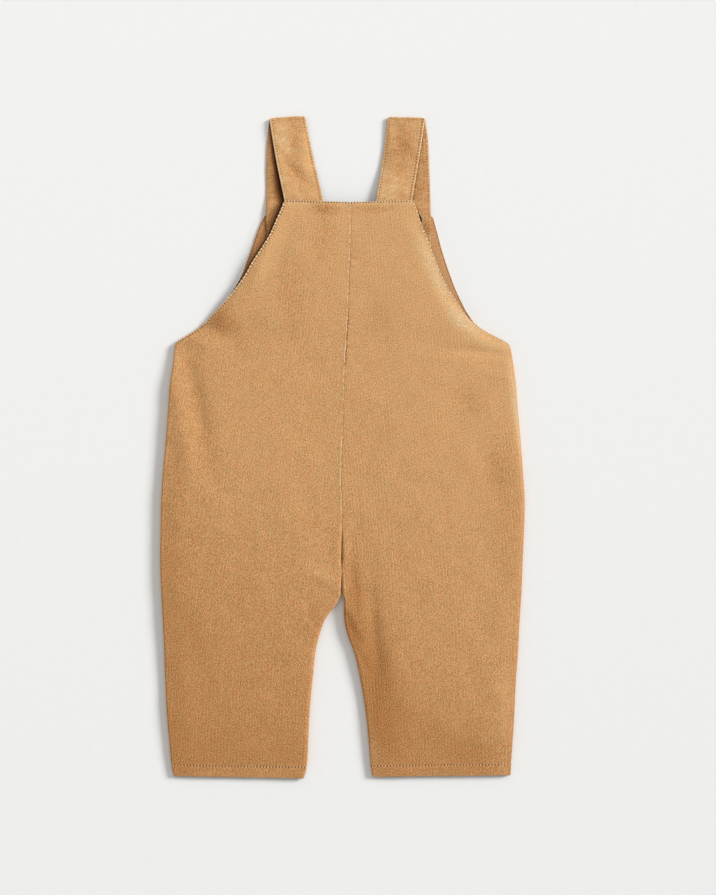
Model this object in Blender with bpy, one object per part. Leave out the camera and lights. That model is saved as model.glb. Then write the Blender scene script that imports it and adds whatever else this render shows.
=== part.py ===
"""Baby's bib overalls in fine corduroy, lying flat on their front with the back uppermost.

Frame: metres, +Z up, the floor at z = 0, +Y towards the shoulder straps, X across the garment and
the origin on the floor under its middle. Named sizes and tables are in millimetres, and every
edge is given at its distance y up the garment.

Each leg panel is one piece of cloth from the bib to the hem. It is a wall of even thickness whose
sides curl over to meet the other layer at the side seam and the inseam, and whose armhole, bib top
and hem are open edges. The two front panels lie on the floor and the two back panels on them.
"""

import math
from collections import namedtuple

import bmesh
import bpy
import numpy as np

MM = 0.001

# Cloth
WALL = 1.2  # fine corduroy with its pile
SEAM_GAP = 0.3  # between two pieces that are sewn together
SEAM_LEVEL = 2.8  # height of the side seams and inseams over the floor
HEM_DEPTH = 8.7
HEM_WALL = 2.2  # cloth with its turned-up hem behind it

# How far in from an edge the cloth curls over to its seam
SIDE_CURL = 4.0
CENTRE_CURL = 2.0
INSEAM_CURL = 3.6

# Straps: a band pressed from two layers, folded over at the shoulder
STRAP_THICKNESS = 2.0
STRAP_EDGE_ROUND = 0.8
SHOULDER_GAP = 1.4  # between the strap's two layers at its fold
BIB_CLIMB = WALL + SEAM_GAP  # the strap's underside where it lies on the front bib

# Stud caps on the straps' ends
STUD_RADIUS = 6.0
STUD_LIFT = BIB_CLIMB + STRAP_THICKNESS + SEAM_GAP
STUD_Y = 173.2

# Mesh spacing
ROW_STEP = 12.5
CURL_ANGLES = (0.0, 22.5, 45.0, 67.5, 90.0)  # from the seam's upright edge to level cloth
BACK_COLUMNS = 7
FRONT_COLUMNS = 4
STRAP_STEP = 8.0
STUD_SIDES = 28

Edge = namedtuple("Edge", "y left right")

BACK_ARMHOLE = (
    Edge(y=186.2, left=-44.1, right=51.8),
    Edge(y=184.4, left=-44.7, right=53.5),
    Edge(y=180.0, left=-46.4, right=55.6),
    Edge(y=170.0, left=-50.8, right=59.0),
    Edge(y=160.0, left=-55.3, right=63.0),
    Edge(y=150.0, left=-61.6, right=66.9),
    Edge(y=140.0, left=-68.2, right=70.6),
    Edge(y=130.0, left=-73.9, right=75.0),
    Edge(y=120.0, left=-81.0, right=80.0),
    Edge(y=110.0, left=-89.5, right=86.6),
    Edge(y=100.0, left=-98.7, right=93.4),
    Edge(y=91.0, left=-107.8, right=102.6),
    Edge(y=85.0, left=-116.6, right=112.6),
    Edge(y=81.0, left=-123.7, right=120.6),
    Edge(y=78.5, left=-126.6, right=125.0),
    Edge(y=75.0, left=-127.4, right=127.3),
)

FRONT_ARMHOLE = (
    Edge(y=175.2, left=-59.0, right=66.6),
    Edge(y=173.6, left=-60.0, right=68.2),
    Edge(y=170.0, left=-61.8, right=69.4),
    Edge(y=160.0, left=-65.7, right=72.2),
    Edge(y=150.0, left=-69.1, right=74.8),
    Edge(y=140.0, left=-72.9, right=77.9),
    Edge(y=130.0, left=-76.6, right=81.4),
    Edge(y=120.0, left=-82.2, right=85.2),
    Edge(y=110.0, left=-89.7, right=89.8),
    Edge(y=100.0, left=-98.6, right=95.4),
    Edge(y=91.0, left=-107.6, right=103.0),
    Edge(y=85.0, left=-116.3, right=112.4),
    Edge(y=81.0, left=-123.6, right=120.5),
    Edge(y=78.5, left=-126.6, right=125.0),
    Edge(y=75.0, left=-127.4, right=127.3),
)

SIDE_SEAM = (
    Edge(y=75.0, left=-127.4, right=127.3),
    Edge(y=62.0, left=-128.7, right=129.5),
    Edge(y=50.0, left=-130.6, right=131.1),
    Edge(y=28.0, left=-132.3, right=132.8),
    Edge(y=5.0, left=-134.0, right=134.8),
    Edge(y=-17.0, left=-136.0, right=136.4),
    Edge(y=-40.0, left=-137.5, right=137.9),
    Edge(y=-63.0, left=-137.9, right=137.4),
    Edge(y=-86.0, left=-138.2, right=136.4),
    Edge(y=-108.0, left=-137.5, right=135.6),
    Edge(y=-131.0, left=-136.3, right=134.1),
    Edge(y=-154.0, left=-135.3, right=132.5),
    Edge(y=-176.0, left=-134.5, right=130.6),
    Edge(y=-199.0, left=-133.5, right=129.4),
    Edge(y=-222.0, left=-131.5, right=128.0),
    Edge(y=-243.0, left=-129.4, right=126.7),
    Edge(y=-249.0, left=-128.2, right=126.7),
)

INSEAM = (
    Edge(y=-112.7, left=-1.05, right=-0.75),
    Edge(y=-116.0, left=-2.6, right=0.2),
    Edge(y=-120.0, left=-5.2, right=0.4),
    Edge(y=-125.0, left=-9.6, right=0.6),
    Edge(y=-131.0, left=-13.4, right=1.0),
    Edge(y=-142.0, left=-17.3, right=3.3),
    Edge(y=-154.0, left=-20.3, right=7.8),
    Edge(y=-165.0, left=-21.5, right=10.8),
    Edge(y=-176.0, left=-22.5, right=13.0),
    Edge(y=-199.0, left=-24.7, right=16.8),
    Edge(y=-222.0, left=-25.9, right=19.3),
    Edge(y=-245.0, left=-27.6, right=21.4),
    Edge(y=-250.2, left=-29.0, right=22.4),
)

Seam = namedtuple("Seam", "y x")

CENTRE_SEAM = (
    Seam(y=187.0, x=5.9),
    Seam(y=148.0, x=5.7),
    Seam(y=130.0, x=4.5),
    Seam(y=111.0, x=4.2),
    Seam(y=88.0, x=3.4),
    Seam(y=61.0, x=1.6),
    Seam(y=23.0, x=0.3),
    Seam(y=-8.0, x=-0.9),
    Seam(y=-24.0, x=-1.4),
    Seam(y=-42.0, x=-0.6),
    Seam(y=-68.0, x=-0.6),
    Seam(y=-112.7, x=-0.9),
)
CROTCH_Y = -112.7
UNDERARM_Y = 75.0

# Where each panel's open edges lie, at its centre seam or inseam (inner) and at its side (outer)
Ends = namedtuple("Ends", "inner outer")
BACK_TOP = {"left": Ends(184.9, 186.2), "right": Ends(184.9, 186.2)}
FRONT_TOP = {"left": Ends(173.8, 175.2), "right": Ends(173.8, 175.2)}
HEM = {"left": Ends(-250.2, -248.4), "right": Ends(-248.9, -247.7)}

# Height of the back panels' upper face over the floor, near their side edge and at the centre
Loft = namedtuple("Loft", "y edge centre")
LOFT = (
    Loft(y=187.0, edge=7.2, centre=5.8),
    Loft(y=160.0, edge=7.2, centre=5.6),
    Loft(y=140.0, edge=6.8, centre=5.3),
    Loft(y=110.0, edge=6.0, centre=5.0),
    Loft(y=80.0, edge=5.7, centre=4.8),
    Loft(y=40.0, edge=5.6, centre=4.8),
    Loft(y=-40.0, edge=5.6, centre=4.8),
    Loft(y=-112.0, edge=5.6, centre=5.3),
    Loft(y=-180.0, edge=5.6, centre=5.5),
    Loft(y=-251.0, edge=5.6, centre=5.6),
)
LOFT_REACH = 0.42  # share of the panel's width from the centre to the full edge height

# Soft ridges (rise above 0) and troughs in the back panels. turn is from +Y towards -X, degrees
Fold = namedtuple("Fold", "name x y length width turn rise")
FOLDS = (
    Fold("left side ridge", x=-119.0, y=33.0, length=46.0, width=8.0, turn=-5.0, rise=0.7),
    Fold("left side trough", x=-101.0, y=44.0, length=40.0, width=8.0, turn=-4.0, rise=-0.7),
    Fold("left armhole hollow", x=-96.0, y=92.0, length=20.0, width=7.0, turn=84.0, rise=-0.8),
    Fold("right armhole swell", x=96.0, y=88.0, length=20.0, width=7.0, turn=60.0, rise=0.6),
    Fold("right underarm crease", x=103.0, y=74.0, length=26.0, width=5.0, turn=86.0, rise=-0.8),
    Fold("right hip hollow", x=94.0, y=40.0, length=22.0, width=9.0, turn=110.0, rise=-0.4),
    Fold("right crotch drag", x=14.0, y=-112.0, length=42.0, width=7.0, turn=-14.0, rise=-0.9),
    Fold("left crotch swell", x=-16.0, y=-101.0, length=13.0, width=7.0, turn=70.0, rise=0.5),
    Fold("right knee hollow", x=90.0, y=-222.0, length=26.0, width=10.0, turn=80.0, rise=-0.5),
)

# Strap edges as laid, from the end under the back bib to the fold, then on to the end on the front
StrapRow = namedtuple("StrapRow", "left_x left_y right_x right_y under")
STRAPS = {
    "left": {
        "back": (
            StrapRow(left_x=-43.1, left_y=180.9, right_x=-14.0, right_y=180.7, under=3.6),
            StrapRow(left_x=-44.1, left_y=186.2, right_x=-15.1, right_y=186.0, under=3.6),
            StrapRow(left_x=-50.2, left_y=216.0, right_x=-22.0, right_y=216.8, under=3.5),
            StrapRow(left_x=-55.8, left_y=245.4, right_x=-28.5, right_y=246.9, under=3.4),
        ),
        "front": (
            StrapRow(left_x=-55.8, left_y=245.4, right_x=-28.5, right_y=246.9, under=0.0),
            StrapRow(left_x=-56.9, left_y=236.0, right_x=-29.4, right_y=237.0, under=0.0),
            StrapRow(left_x=-58.0, left_y=212.0, right_x=-30.2, right_y=212.0, under=0.0),
            StrapRow(left_x=-58.2, left_y=188.5, right_x=-30.4, right_y=188.5, under=0.0),
            StrapRow(left_x=-58.3, left_y=177.0, right_x=-30.5, right_y=177.0, under=BIB_CLIMB),
            StrapRow(left_x=-58.5, left_y=160.0, right_x=-30.7, right_y=160.0, under=BIB_CLIMB),
            StrapRow(left_x=-58.6, left_y=140.0, right_x=-30.8, right_y=140.0, under=BIB_CLIMB),
        ),
        "stud_x": -43.4,
    },
    "right": {
        "back": (
            StrapRow(left_x=24.1, left_y=180.9, right_x=51.6, right_y=180.7, under=3.6),
            StrapRow(left_x=24.9, left_y=186.2, right_x=52.4, right_y=186.0, under=3.6),
            StrapRow(left_x=29.0, left_y=216.8, right_x=57.3, right_y=216.2, under=3.5),
            StrapRow(left_x=33.8, left_y=246.6, right_x=62.3, right_y=245.8, under=3.4),
        ),
        "front": (
            StrapRow(left_x=33.8, left_y=246.6, right_x=62.3, right_y=245.8, under=0.0),
            StrapRow(left_x=35.9, left_y=237.0, right_x=64.0, right_y=237.0, under=0.0),
            StrapRow(left_x=37.3, left_y=214.0, right_x=65.4, right_y=214.0, under=0.0),
            StrapRow(left_x=38.3, left_y=188.5, right_x=66.3, right_y=188.5, under=0.0),
            StrapRow(left_x=38.6, left_y=177.0, right_x=66.5, right_y=177.0, under=BIB_CLIMB),
            StrapRow(left_x=38.8, left_y=160.0, right_x=66.8, right_y=160.0, under=BIB_CLIMB),
            StrapRow(left_x=38.9, left_y=140.0, right_x=66.9, right_y=140.0, under=BIB_CLIMB),
        ),
        "stud_x": 52.4,
    },
}
FOLD_ANGLES = (0.0, 25.0, 50.0, 70.0, 90.0, 110.0, 130.0, 155.0, 180.0)

# Profile of a stud cap, from its middle to its underside
Turn = namedtuple("Turn", "radius height")
STUD_PROFILE = (
    Turn(radius=2.2, height=1.60),
    Turn(radius=4.2, height=1.45),
    Turn(radius=5.4, height=1.10),
    Turn(radius=STUD_RADIUS, height=0.55),
    Turn(radius=STUD_RADIUS - 0.1, height=0.20),
    Turn(radius=STUD_RADIUS - 0.5, height=0.0),
)


def clear_scene():
    for obj in list(bpy.data.objects):
        bpy.data.objects.remove(obj, do_unlink=True)


def make_material(name, colour, roughness, metallic=0.0):
    material = bpy.data.materials.new(name)
    material.use_nodes = True
    shader = material.node_tree.nodes["Principled BSDF"]
    shader.inputs["Base Color"].default_value = (*colour, 1.0)
    shader.inputs["Roughness"].default_value = roughness
    shader.inputs["Metallic"].default_value = metallic
    material.diffuse_color = (*colour, 1.0)
    return material


def smooth_curve(places, values):
    """A function that runs smoothly through the values given at the places, in any order."""
    order = np.argsort(places)
    at = np.asarray(places, float)[order]
    value = np.asarray(values, float)[order]
    slope = np.gradient(value, at)

    def curve(place):
        i = np.clip(np.searchsorted(at, place) - 1, 0, len(at) - 2)
        span = at[i + 1] - at[i]
        t = np.clip((place - at[i]) / span, 0.0, 1.0)
        return (
            value[i] * (1 + 2 * t) * (1 - t) ** 2
            + value[i + 1] * t**2 * (3 - 2 * t)
            + span * t * (1 - t) * (slope[i] * (1 - t) - slope[i + 1] * t)
        )

    return curve


def table_curve(table, column):
    return smooth_curve([row.y for row in table], [getattr(row, column) for row in table])


def ease(low, high, value):
    """0 below low, 1 above high, with a soft start and end. low may be the greater of the two."""
    t = np.clip((value - low) / (high - low), 0.0, 1.0)
    return t * t * (3 - 2 * t)


seam_x = table_curve(CENTRE_SEAM, "x")
loft_edge = table_curve(LOFT, "edge")
loft_centre = table_curve(LOFT, "centre")


def outer_edge(armhole, side):
    """x of a panel's armhole and, below the underarm, of its side seam."""
    above = table_curve(armhole, side)
    below = table_curve(SIDE_SEAM, side)
    return lambda y: np.where(y > UNDERARM_Y, above(y), below(y))


def inner_edge(side):
    """x of a panel's centre seam and, below the crotch, of its inseam."""
    half_gap = SEAM_GAP / 2 * (-1 if side == "left" else 1)
    below = table_curve(INSEAM, side)
    return lambda y: np.where(y > CROTCH_Y, seam_x(y) + half_gap, below(y))


def fold_rise(x, y):
    """Height that the soft ridges and troughs add at x, y."""
    total = np.zeros_like(x)
    for fold in FOLDS:
        turn = math.radians(fold.turn)
        along = (y - fold.y) * math.cos(turn) - (x - fold.x) * math.sin(turn)
        across = (y - fold.y) * math.sin(turn) + (x - fold.x) * math.cos(turn)
        total += fold.rise * np.exp(-((along / fold.length) ** 2) - (across / fold.width) ** 2)
    return total


def row_places(top, bottom, marks):
    """Places down a panel, with a row at each mark and even rows between them."""
    stops = [top, *sorted((m for m in marks if bottom < m < top), reverse=True), bottom]
    places = [top]
    for start, end in zip(stops, stops[1:]):
        count = max(1, round((start - end) / ROW_STEP))
        places += [start + (end - start) * k / count for k in range(1, count + 1)]
    return np.array(places)


def make_panel(name, side, layer, material):
    """One leg panel: two grids of points, the outer and inner face, closed round their edges."""
    back = layer == "back"
    top = (BACK_TOP if back else FRONT_TOP)[side]
    hem = HEM[side]
    edge_x = outer_edge(BACK_ARMHOLE if back else FRONT_ARMHOLE, side)
    middle_x = inner_edge(side)

    # Rows: y at the inner edge, and at the outer edge, where the open ends lie a little higher.
    hem_fold = hem.inner + HEM_DEPTH
    marks = (
        top.inner - 1.6, top.inner - 6.0, 100.0, 90.0, 84.0, 80.0, UNDERARM_Y, -90.0, -104.0,
        CROTCH_Y, -116.0, -120.0, -126.0, -134.0, hem_fold + 0.6, hem_fold,
    )  # fmt: skip
    y_in = row_places(top.inner, hem.inner, marks)
    rows = y_in[:, None]
    y_out = rows + np.interp(
        rows,
        [hem.inner, hem.inner + 60, top.inner - 30, top.inner],
        [hem.outer - hem.inner, 0, 0, top.outer - top.inner],
    )
    x_in, x_out = middle_x(rows), edge_x(y_out)
    width = np.abs(x_out - x_in)
    towards_edge = -1.0 if side == "left" else 1.0

    # Columns: distance in from the inner edge, and the angle through which the cloth has curled.
    angles = np.radians(CURL_ANGLES)
    curl_in = CENTRE_CURL + (INSEAM_CURL - CENTRE_CURL) * ease(CROTCH_Y, CROTCH_Y - 30, rows)
    near = curl_in * (1 - np.cos(angles))
    far = width - SIDE_CURL * (1 - np.cos(angles))[::-1]
    count = BACK_COLUMNS if back else FRONT_COLUMNS
    between = np.linspace(0, 1, count + 2)[1:-1]
    middle = near[:, -1:] + (far[:, :1] - near[:, -1:]) * between
    distance = np.hstack([near, middle, far])
    level = np.zeros(count)
    rest = math.pi / 2 - angles
    if back:
        into_seam = 0.12 + 0.88 * ease(-62.0, -90.0, rows)
    else:
        into_seam = ease(-100.0, -116.0, rows)
    into_side = ease(108.0, 79.0, y_out)
    lean = np.hstack([into_seam * rest, np.tile(level, (len(rows), 1)), into_side * rest[::-1]])
    drop = np.hstack([
        into_seam * (1 - np.sin(angles)),
        np.tile(level, (len(rows), 1)),
        into_side * (1 - np.sin(angles))[::-1],
    ])  # fmt: skip

    share = distance / width
    y = rows + (y_out - rows) * share
    x = x_in + towards_edge * distance
    if back:
        loft = loft_centre(y) + (loft_edge(y) - loft_centre(y)) * ease(0.02, LOFT_REACH, share)
        height = loft + fold_rise(x, y)
        z = height - drop * (height - SEAM_LEVEL - SEAM_GAP / 2)
        inward = -1.0
    else:
        z = drop * (SEAM_LEVEL - SEAM_GAP / 2)
        inward = 1.0
    outer = np.stack([x, y, z], axis=-1)

    # The inner face lies one wall in from the outer one, square to it where the cloth curls.
    wall = np.where(rows > hem_fold + 0.3, WALL, HEM_WALL)
    from_edge = np.where(share < 0.5, 1.0, -1.0) * towards_edge
    inner = outer.copy()
    inner[..., 0] += wall * np.sin(lean) * from_edge
    inner[..., 2] += wall * np.cos(lean) * inward
    return make_wall(name, outer, inner, material)


def make_wall(name, outer, inner, material):
    """A closed sheet between two grids of points with equal rows and columns."""
    mesh = bmesh.new()
    grids = [[[mesh.verts.new(p * MM) for p in row] for row in grid] for grid in (outer, inner)]
    row_count, column_count = outer.shape[:2]
    for grid in grids:
        for i in range(row_count - 1):
            for j in range(column_count - 1):
                mesh.faces.new([grid[i][j], grid[i][j + 1], grid[i + 1][j + 1], grid[i + 1][j]])
    first, second = grids
    for i in range(row_count - 1):
        for j in (0, column_count - 1):
            mesh.faces.new([first[i][j], first[i + 1][j], second[i + 1][j], second[i][j]])
    for j in range(column_count - 1):
        for i in (0, row_count - 1):
            mesh.faces.new([first[i][j], first[i][j + 1], second[i][j + 1], second[i][j]])
    return finish_mesh(name, mesh, material)


def finish_mesh(name, mesh, material, sharp_degrees=50.0):
    bmesh.ops.recalc_face_normals(mesh, faces=mesh.faces)
    data = bpy.data.meshes.new(name)
    mesh.to_mesh(data)
    mesh.free()
    data.materials.append(material)
    data.shade_smooth()
    data.set_sharp_from_angle(angle=math.radians(sharp_degrees))
    obj = bpy.data.objects.new(name, data)
    bpy.context.scene.collection.objects.link(obj)
    return obj


def strap_profile(width):
    """Section of a strap: along its width and through its thickness, with rounded long edges."""
    half = STRAP_THICKNESS / 2
    corner = [
        (STRAP_EDGE_ROUND * (1 - math.cos(a)), half * math.sin(a))
        for a in np.radians((-65.0, -22.0, 22.0, 65.0))
    ]
    upper = [(share * width, half) for share in (0.06, 0.34, 0.66, 0.94)]
    right = [(width - along, through) for along, through in reversed(corner)]
    lower = [(along, -half) for along, through in reversed(upper)]
    return corner + upper + right + lower


def strap_stretch(table):
    """Left points, right points and undersides at even steps along one layer of a strap."""
    middle = [(row.left_y + row.right_y) / 2 for row in table]
    curves = {
        column: smooth_curve(middle, [getattr(row, column) for row in table])
        for column in StrapRow._fields
    }
    count = max(2, round(abs(middle[0] - middle[-1]) / STRAP_STEP))
    for place in np.linspace(middle[0], middle[-1], count + 1):
        at = {column: float(curve(place)) for column, curve in curves.items()}
        left = np.array([at["left_x"], at["left_y"], 0.0])
        right = np.array([at["right_x"], at["right_y"], 0.0])
        yield left, right, at["under"]


def make_strap(name, side, material):
    """A flat band: one section after another, up the back, round the shoulder and down the front."""
    half = STRAP_THICKNESS / 2
    layers = STRAPS[side]
    fold_radius = (SHOULDER_GAP + STRAP_THICKNESS) / 2
    fold_centre = half + fold_radius
    sections = []  # left point, right point, bend
    for left, right, under in strap_stretch(layers["back"]):
        lift = np.array([0.0, 0.0, under + half])
        sections.append((left + lift, right + lift, 0.0))
    fold_left, fold_right = left, right
    across = (fold_right - fold_left) / np.linalg.norm(fold_right - fold_left)
    up_strap = np.cross([0.0, 0.0, 1.0], across)
    for degrees in FOLD_ANGLES[1:-1]:
        bend = math.radians(degrees)
        out = up_strap * fold_radius * math.sin(bend)
        out[2] = fold_centre + fold_radius * math.cos(bend)
        sections.append((fold_left + out, fold_right + out, bend))
    for left, right, under in strap_stretch(layers["front"]):
        lift = np.array([0.0, 0.0, under + half])
        sections.append((left + lift, right + lift, math.pi))

    mesh = bmesh.new()
    rings = []
    for left, right, bend in sections:
        width = np.linalg.norm(right - left)
        across = (right - left) / width
        up_strap = np.cross([0.0, 0.0, 1.0], across)
        face = up_strap * math.sin(bend) + np.array([0.0, 0.0, math.cos(bend)])
        points = [left + across * along + face * through for along, through in strap_profile(width)]
        rings.append([mesh.verts.new(p * MM) for p in points])
    for ring, following in zip(rings, rings[1:]):
        for k in range(len(ring)):
            mesh.faces.new([ring[k - 1], ring[k], following[k], following[k - 1]])
    mesh.faces.new(rings[0])
    mesh.faces.new(rings[-1])
    return finish_mesh(name, mesh, material)


def make_stud(name, x, material):
    """A domed cap with a rolled rim and a flat underside."""
    mesh = bmesh.new()
    rings = []
    for turn in STUD_PROFILE:
        ring = []
        for k in range(STUD_SIDES):
            a = 2 * math.pi * k / STUD_SIDES
            place = (
                x + turn.radius * math.cos(a),
                STUD_Y + turn.radius * math.sin(a),
                STUD_LIFT + turn.height,
            )
            ring.append(mesh.verts.new(np.array(place) * MM))
        rings.append(ring)
    for ring, following in zip(rings, rings[1:]):
        for k in range(STUD_SIDES):
            mesh.faces.new([ring[k - 1], ring[k], following[k], following[k - 1]])
    mesh.faces.new(rings[0])
    mesh.faces.new(rings[-1])
    return finish_mesh(name, mesh, material, sharp_degrees=60.0)


def main():
    clear_scene()
    cloth = make_material("corduroy", (0.56, 0.34, 0.15), 0.9)
    enamel = make_material("stud_enamel", (0.01, 0.012, 0.03), 0.35, 0.6)
    for side in ("left", "right"):
        for layer in ("front", "back"):
            make_panel(f"{layer}_{side}", side, layer, cloth)
        make_strap(f"strap_{side}", side, cloth)
        make_stud(f"stud_{side}", STRAPS[side]["stud_x"], enamel)


main()
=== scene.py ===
"""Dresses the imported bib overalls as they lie: needlecord panels and straps, stitching, studs and light.

Named sizes and tables are in millimetres in the part's frame: z = 0 is the floor, +Y runs up the
garment to its straps, and every edge is given at its distance y. Most outlines are the construction's
own, so each piece here lies on the solid that it stands for. The hems, the right side seam below the
knee, the curls, heights, straps and studs follow the photo more closely, by a millimetre or two.
"""

import math
from collections import namedtuple

import bpy
import numpy as np
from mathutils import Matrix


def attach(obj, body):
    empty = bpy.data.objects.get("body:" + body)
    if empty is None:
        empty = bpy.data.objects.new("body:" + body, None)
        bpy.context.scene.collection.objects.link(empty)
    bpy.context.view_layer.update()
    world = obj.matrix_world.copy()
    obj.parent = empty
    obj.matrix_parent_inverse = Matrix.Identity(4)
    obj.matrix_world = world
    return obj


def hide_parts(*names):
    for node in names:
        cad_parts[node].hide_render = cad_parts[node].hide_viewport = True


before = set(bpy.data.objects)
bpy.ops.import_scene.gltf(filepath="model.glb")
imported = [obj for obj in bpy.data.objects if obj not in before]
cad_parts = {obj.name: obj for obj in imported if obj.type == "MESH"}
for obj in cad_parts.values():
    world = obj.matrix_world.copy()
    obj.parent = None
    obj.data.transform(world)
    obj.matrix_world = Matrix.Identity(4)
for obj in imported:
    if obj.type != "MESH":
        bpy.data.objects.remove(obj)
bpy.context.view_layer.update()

MM = 0.001


def table(names, *rows):
    """Rows with named columns. The last columns are 0 where a row leaves them out."""
    row = namedtuple("Row", names, defaults=[0.0] * len(names.split()))
    return tuple(row(*values) for values in rows)


SIDES = "y left right"
STRAP_EDGES = "left_x left_y right_x right_y under"
# Soft ridges (rise above 0) and troughs. turn is from +Y towards -X in degrees, and bow is how far
# a crease's line leaves its straight course at its length from the middle.
CREASE = "x y length width turn rise bow"

# fmt: off
# ---- Sizes of the garment ----

WALL = 1.2
HEM_WALL = 1.5
HEM_DEPTH = 8.7
CROTCH_Y = -112.7
UNDERARM_Y = 75.0
SEAM_LEVEL = 2.8  # height at which front and back are sewn together

# How roundly the cloth turns down to its seams, and how gradually that changes below the crotch
SIDE_CURL = {"left": 1.3, "right": 3.4}
CENTRE_CURL = 2.0
INSEAM_CURL = {"left": 3.0, "right": 2.4}
CURL_CHANGE = 30.0

STRAP_THICKNESS = 1.2
STRAP_WIDTH = 28.5
SHOULDER_GAP = 0.1  # between the two layers of a strap at its fold
BIB_CLIMB = 1.5  # how far a strap lies higher on the front bib's cloth
STUD_Y = 171.3
STUD_LIFT = 3.1  # height of a cap's underside

BACK_ARMHOLE = table(
    SIDES,
    (186.2, -44.1, 51.8), (184.4, -44.7, 53.5), (180, -46.4, 55.6), (170, -50.8, 59), (160, -55.3, 63),
    (150, -61.6, 66.9), (140, -68.2, 70.6), (130, -73.9, 75), (120, -81, 80), (110, -89.5, 86.6),
    (100, -98.7, 93.4), (91, -107.8, 102.6), (85, -116.6, 112.6), (81, -123.7, 120.6), (78.5, -126.6, 125),
    (75, -127.4, 127.3),
)

FRONT_ARMHOLE = table(
    SIDES,
    (175.2, -59, 66.6), (173.6, -60, 68.2), (170, -61.8, 69.4), (160, -65.7, 72.2), (150, -69.1, 74.8),
    (140, -72.9, 77.9), (130, -76.6, 81.4), (120, -82.2, 85.2), (110, -89.7, 89.8), (100, -98.6, 95.4),
    (91, -107.6, 103), (85, -116.3, 112.4), (81, -123.6, 120.5), (78.5, -126.6, 125), (75, -127.4, 127.3),
)

SIDE_SEAM = table(
    SIDES,
    (75, -127.4, 127.3), (62, -128.7, 129.5), (50, -130.6, 131.1), (28, -132.3, 132.8), (5, -134, 134.8),
    (-17, -136, 136.4), (-40, -137.5, 137.9), (-63, -137.9, 137.4), (-86, -138.2, 136.4),
    (-108, -137.5, 135.6), (-131, -136.3, 134.1), (-154, -135.3, 133), (-176, -134.5, 131.4),
    (-199, -133.5, 130.3), (-222, -131.5, 129), (-243, -129.4, 127.6), (-249, -128.2, 127.5),
)

INSEAM = table(
    SIDES,
    (-112.7, -1.05, -0.75), (-116, -2.6, 0.2), (-120, -5.2, 0.4), (-125, -9.6, 0.6), (-131, -13.4, 1),
    (-142, -17.3, 3.3), (-154, -20.3, 7.8), (-165, -21.5, 10.8), (-176, -22.5, 13), (-199, -24.7, 16.8),
    (-222, -25.9, 19.3), (-245, -27.6, 21.4), (-250.2, -29, 22.4),
)

CENTRE_SEAM = table(
    "y x",
    (187, 5.9), (148, 5.7), (130, 4.5), (111, 4.2), (88, 3.4), (61, 1.6), (23, 0.3), (-8, -0.9),
    (-24, -1.4), (-42, -0.6), (-68, -0.6), (-112.7, -0.9),
)

Ends = namedtuple("Ends", "inner outer")
BACK_TOP = Ends(184.9, 186.2)
FRONT_TOP = Ends(173.8, 175.2)
HEM = {"left": Ends(-250.9, -249.1), "right": Ends(-249.7, -248.5)}

# Height of the back panels' upper face at the centre and at each side, and the shares of a panel's
# width between which it passes from one to the other
LOFT_SPREAD = (0.02, 0.42)
LOFT = table(
    "y left right centre",
    (187, 7.3, 7.2, 6.9), (168, 7.3, 7.2, 6.8), (140, 6.9, 6.5, 6.2), (110, 6.3, 6.1, 5.5),
    (94, 5.8, 6, 5.2), (80, 4.8, 5.2, 5), (62, 4.7, 5, 4.9), (40, 5.4, 5.3, 4.9), (0, 6.2, 5.6, 5),
    (-60, 6.4, 5.6, 5.3), (-112, 6.2, 5.5, 5.8), (-124, 6.1, 5.5, 6.6), (-150, 5.6, 5.3, 6),
    (-180, 5.1, 5.2, 5.2), (-236, 4.4, 4.5, 4.6), (-251, 3.3, 3.4, 3.5),
)

# How far the back panels sink to their armhole edge, and over what distance in from it
DROOP = table(
    SIDES,
    (187, 0, 0), (168, -0.2, 0.2), (150, -0.2, 0.7), (130, 0.5, 0.7), (112, 1.3, 0.8), (100, 2.2, 1.2),
    (92, 2.7, 1.8), (84, 1.6, 2), (76, 0.4, 0.9), (66, 0.1, 0.3), (55, 0, 0),
)
DROOP_REACH = 6.5

# The same towards the side seams, where the leg lies rounder
SIDE_DROOP = table(
    SIDES,
    (60, 0, 0.2), (20, 0.2, 0.1), (-20, 0.9, 0), (-70, 1.1, 0), (-120, 0.9, 0.2), (-160, 1, 0.6),
    (-200, 0.8, 0.9), (-235, 0.6, 0.9), (-251, 0.4, 0.4),
)
SIDE_DROOP_REACH = 9.0

# The same towards the inseams
INSEAM_DROOP = table(
    SIDES,
    (-125, 0, 0), (-150, 0, 0.5), (-175, 0, 0.8), (-235, 0, 0.8), (-251, 0, 0.5),
)
INSEAM_DROOP_REACH = 7.0

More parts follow.
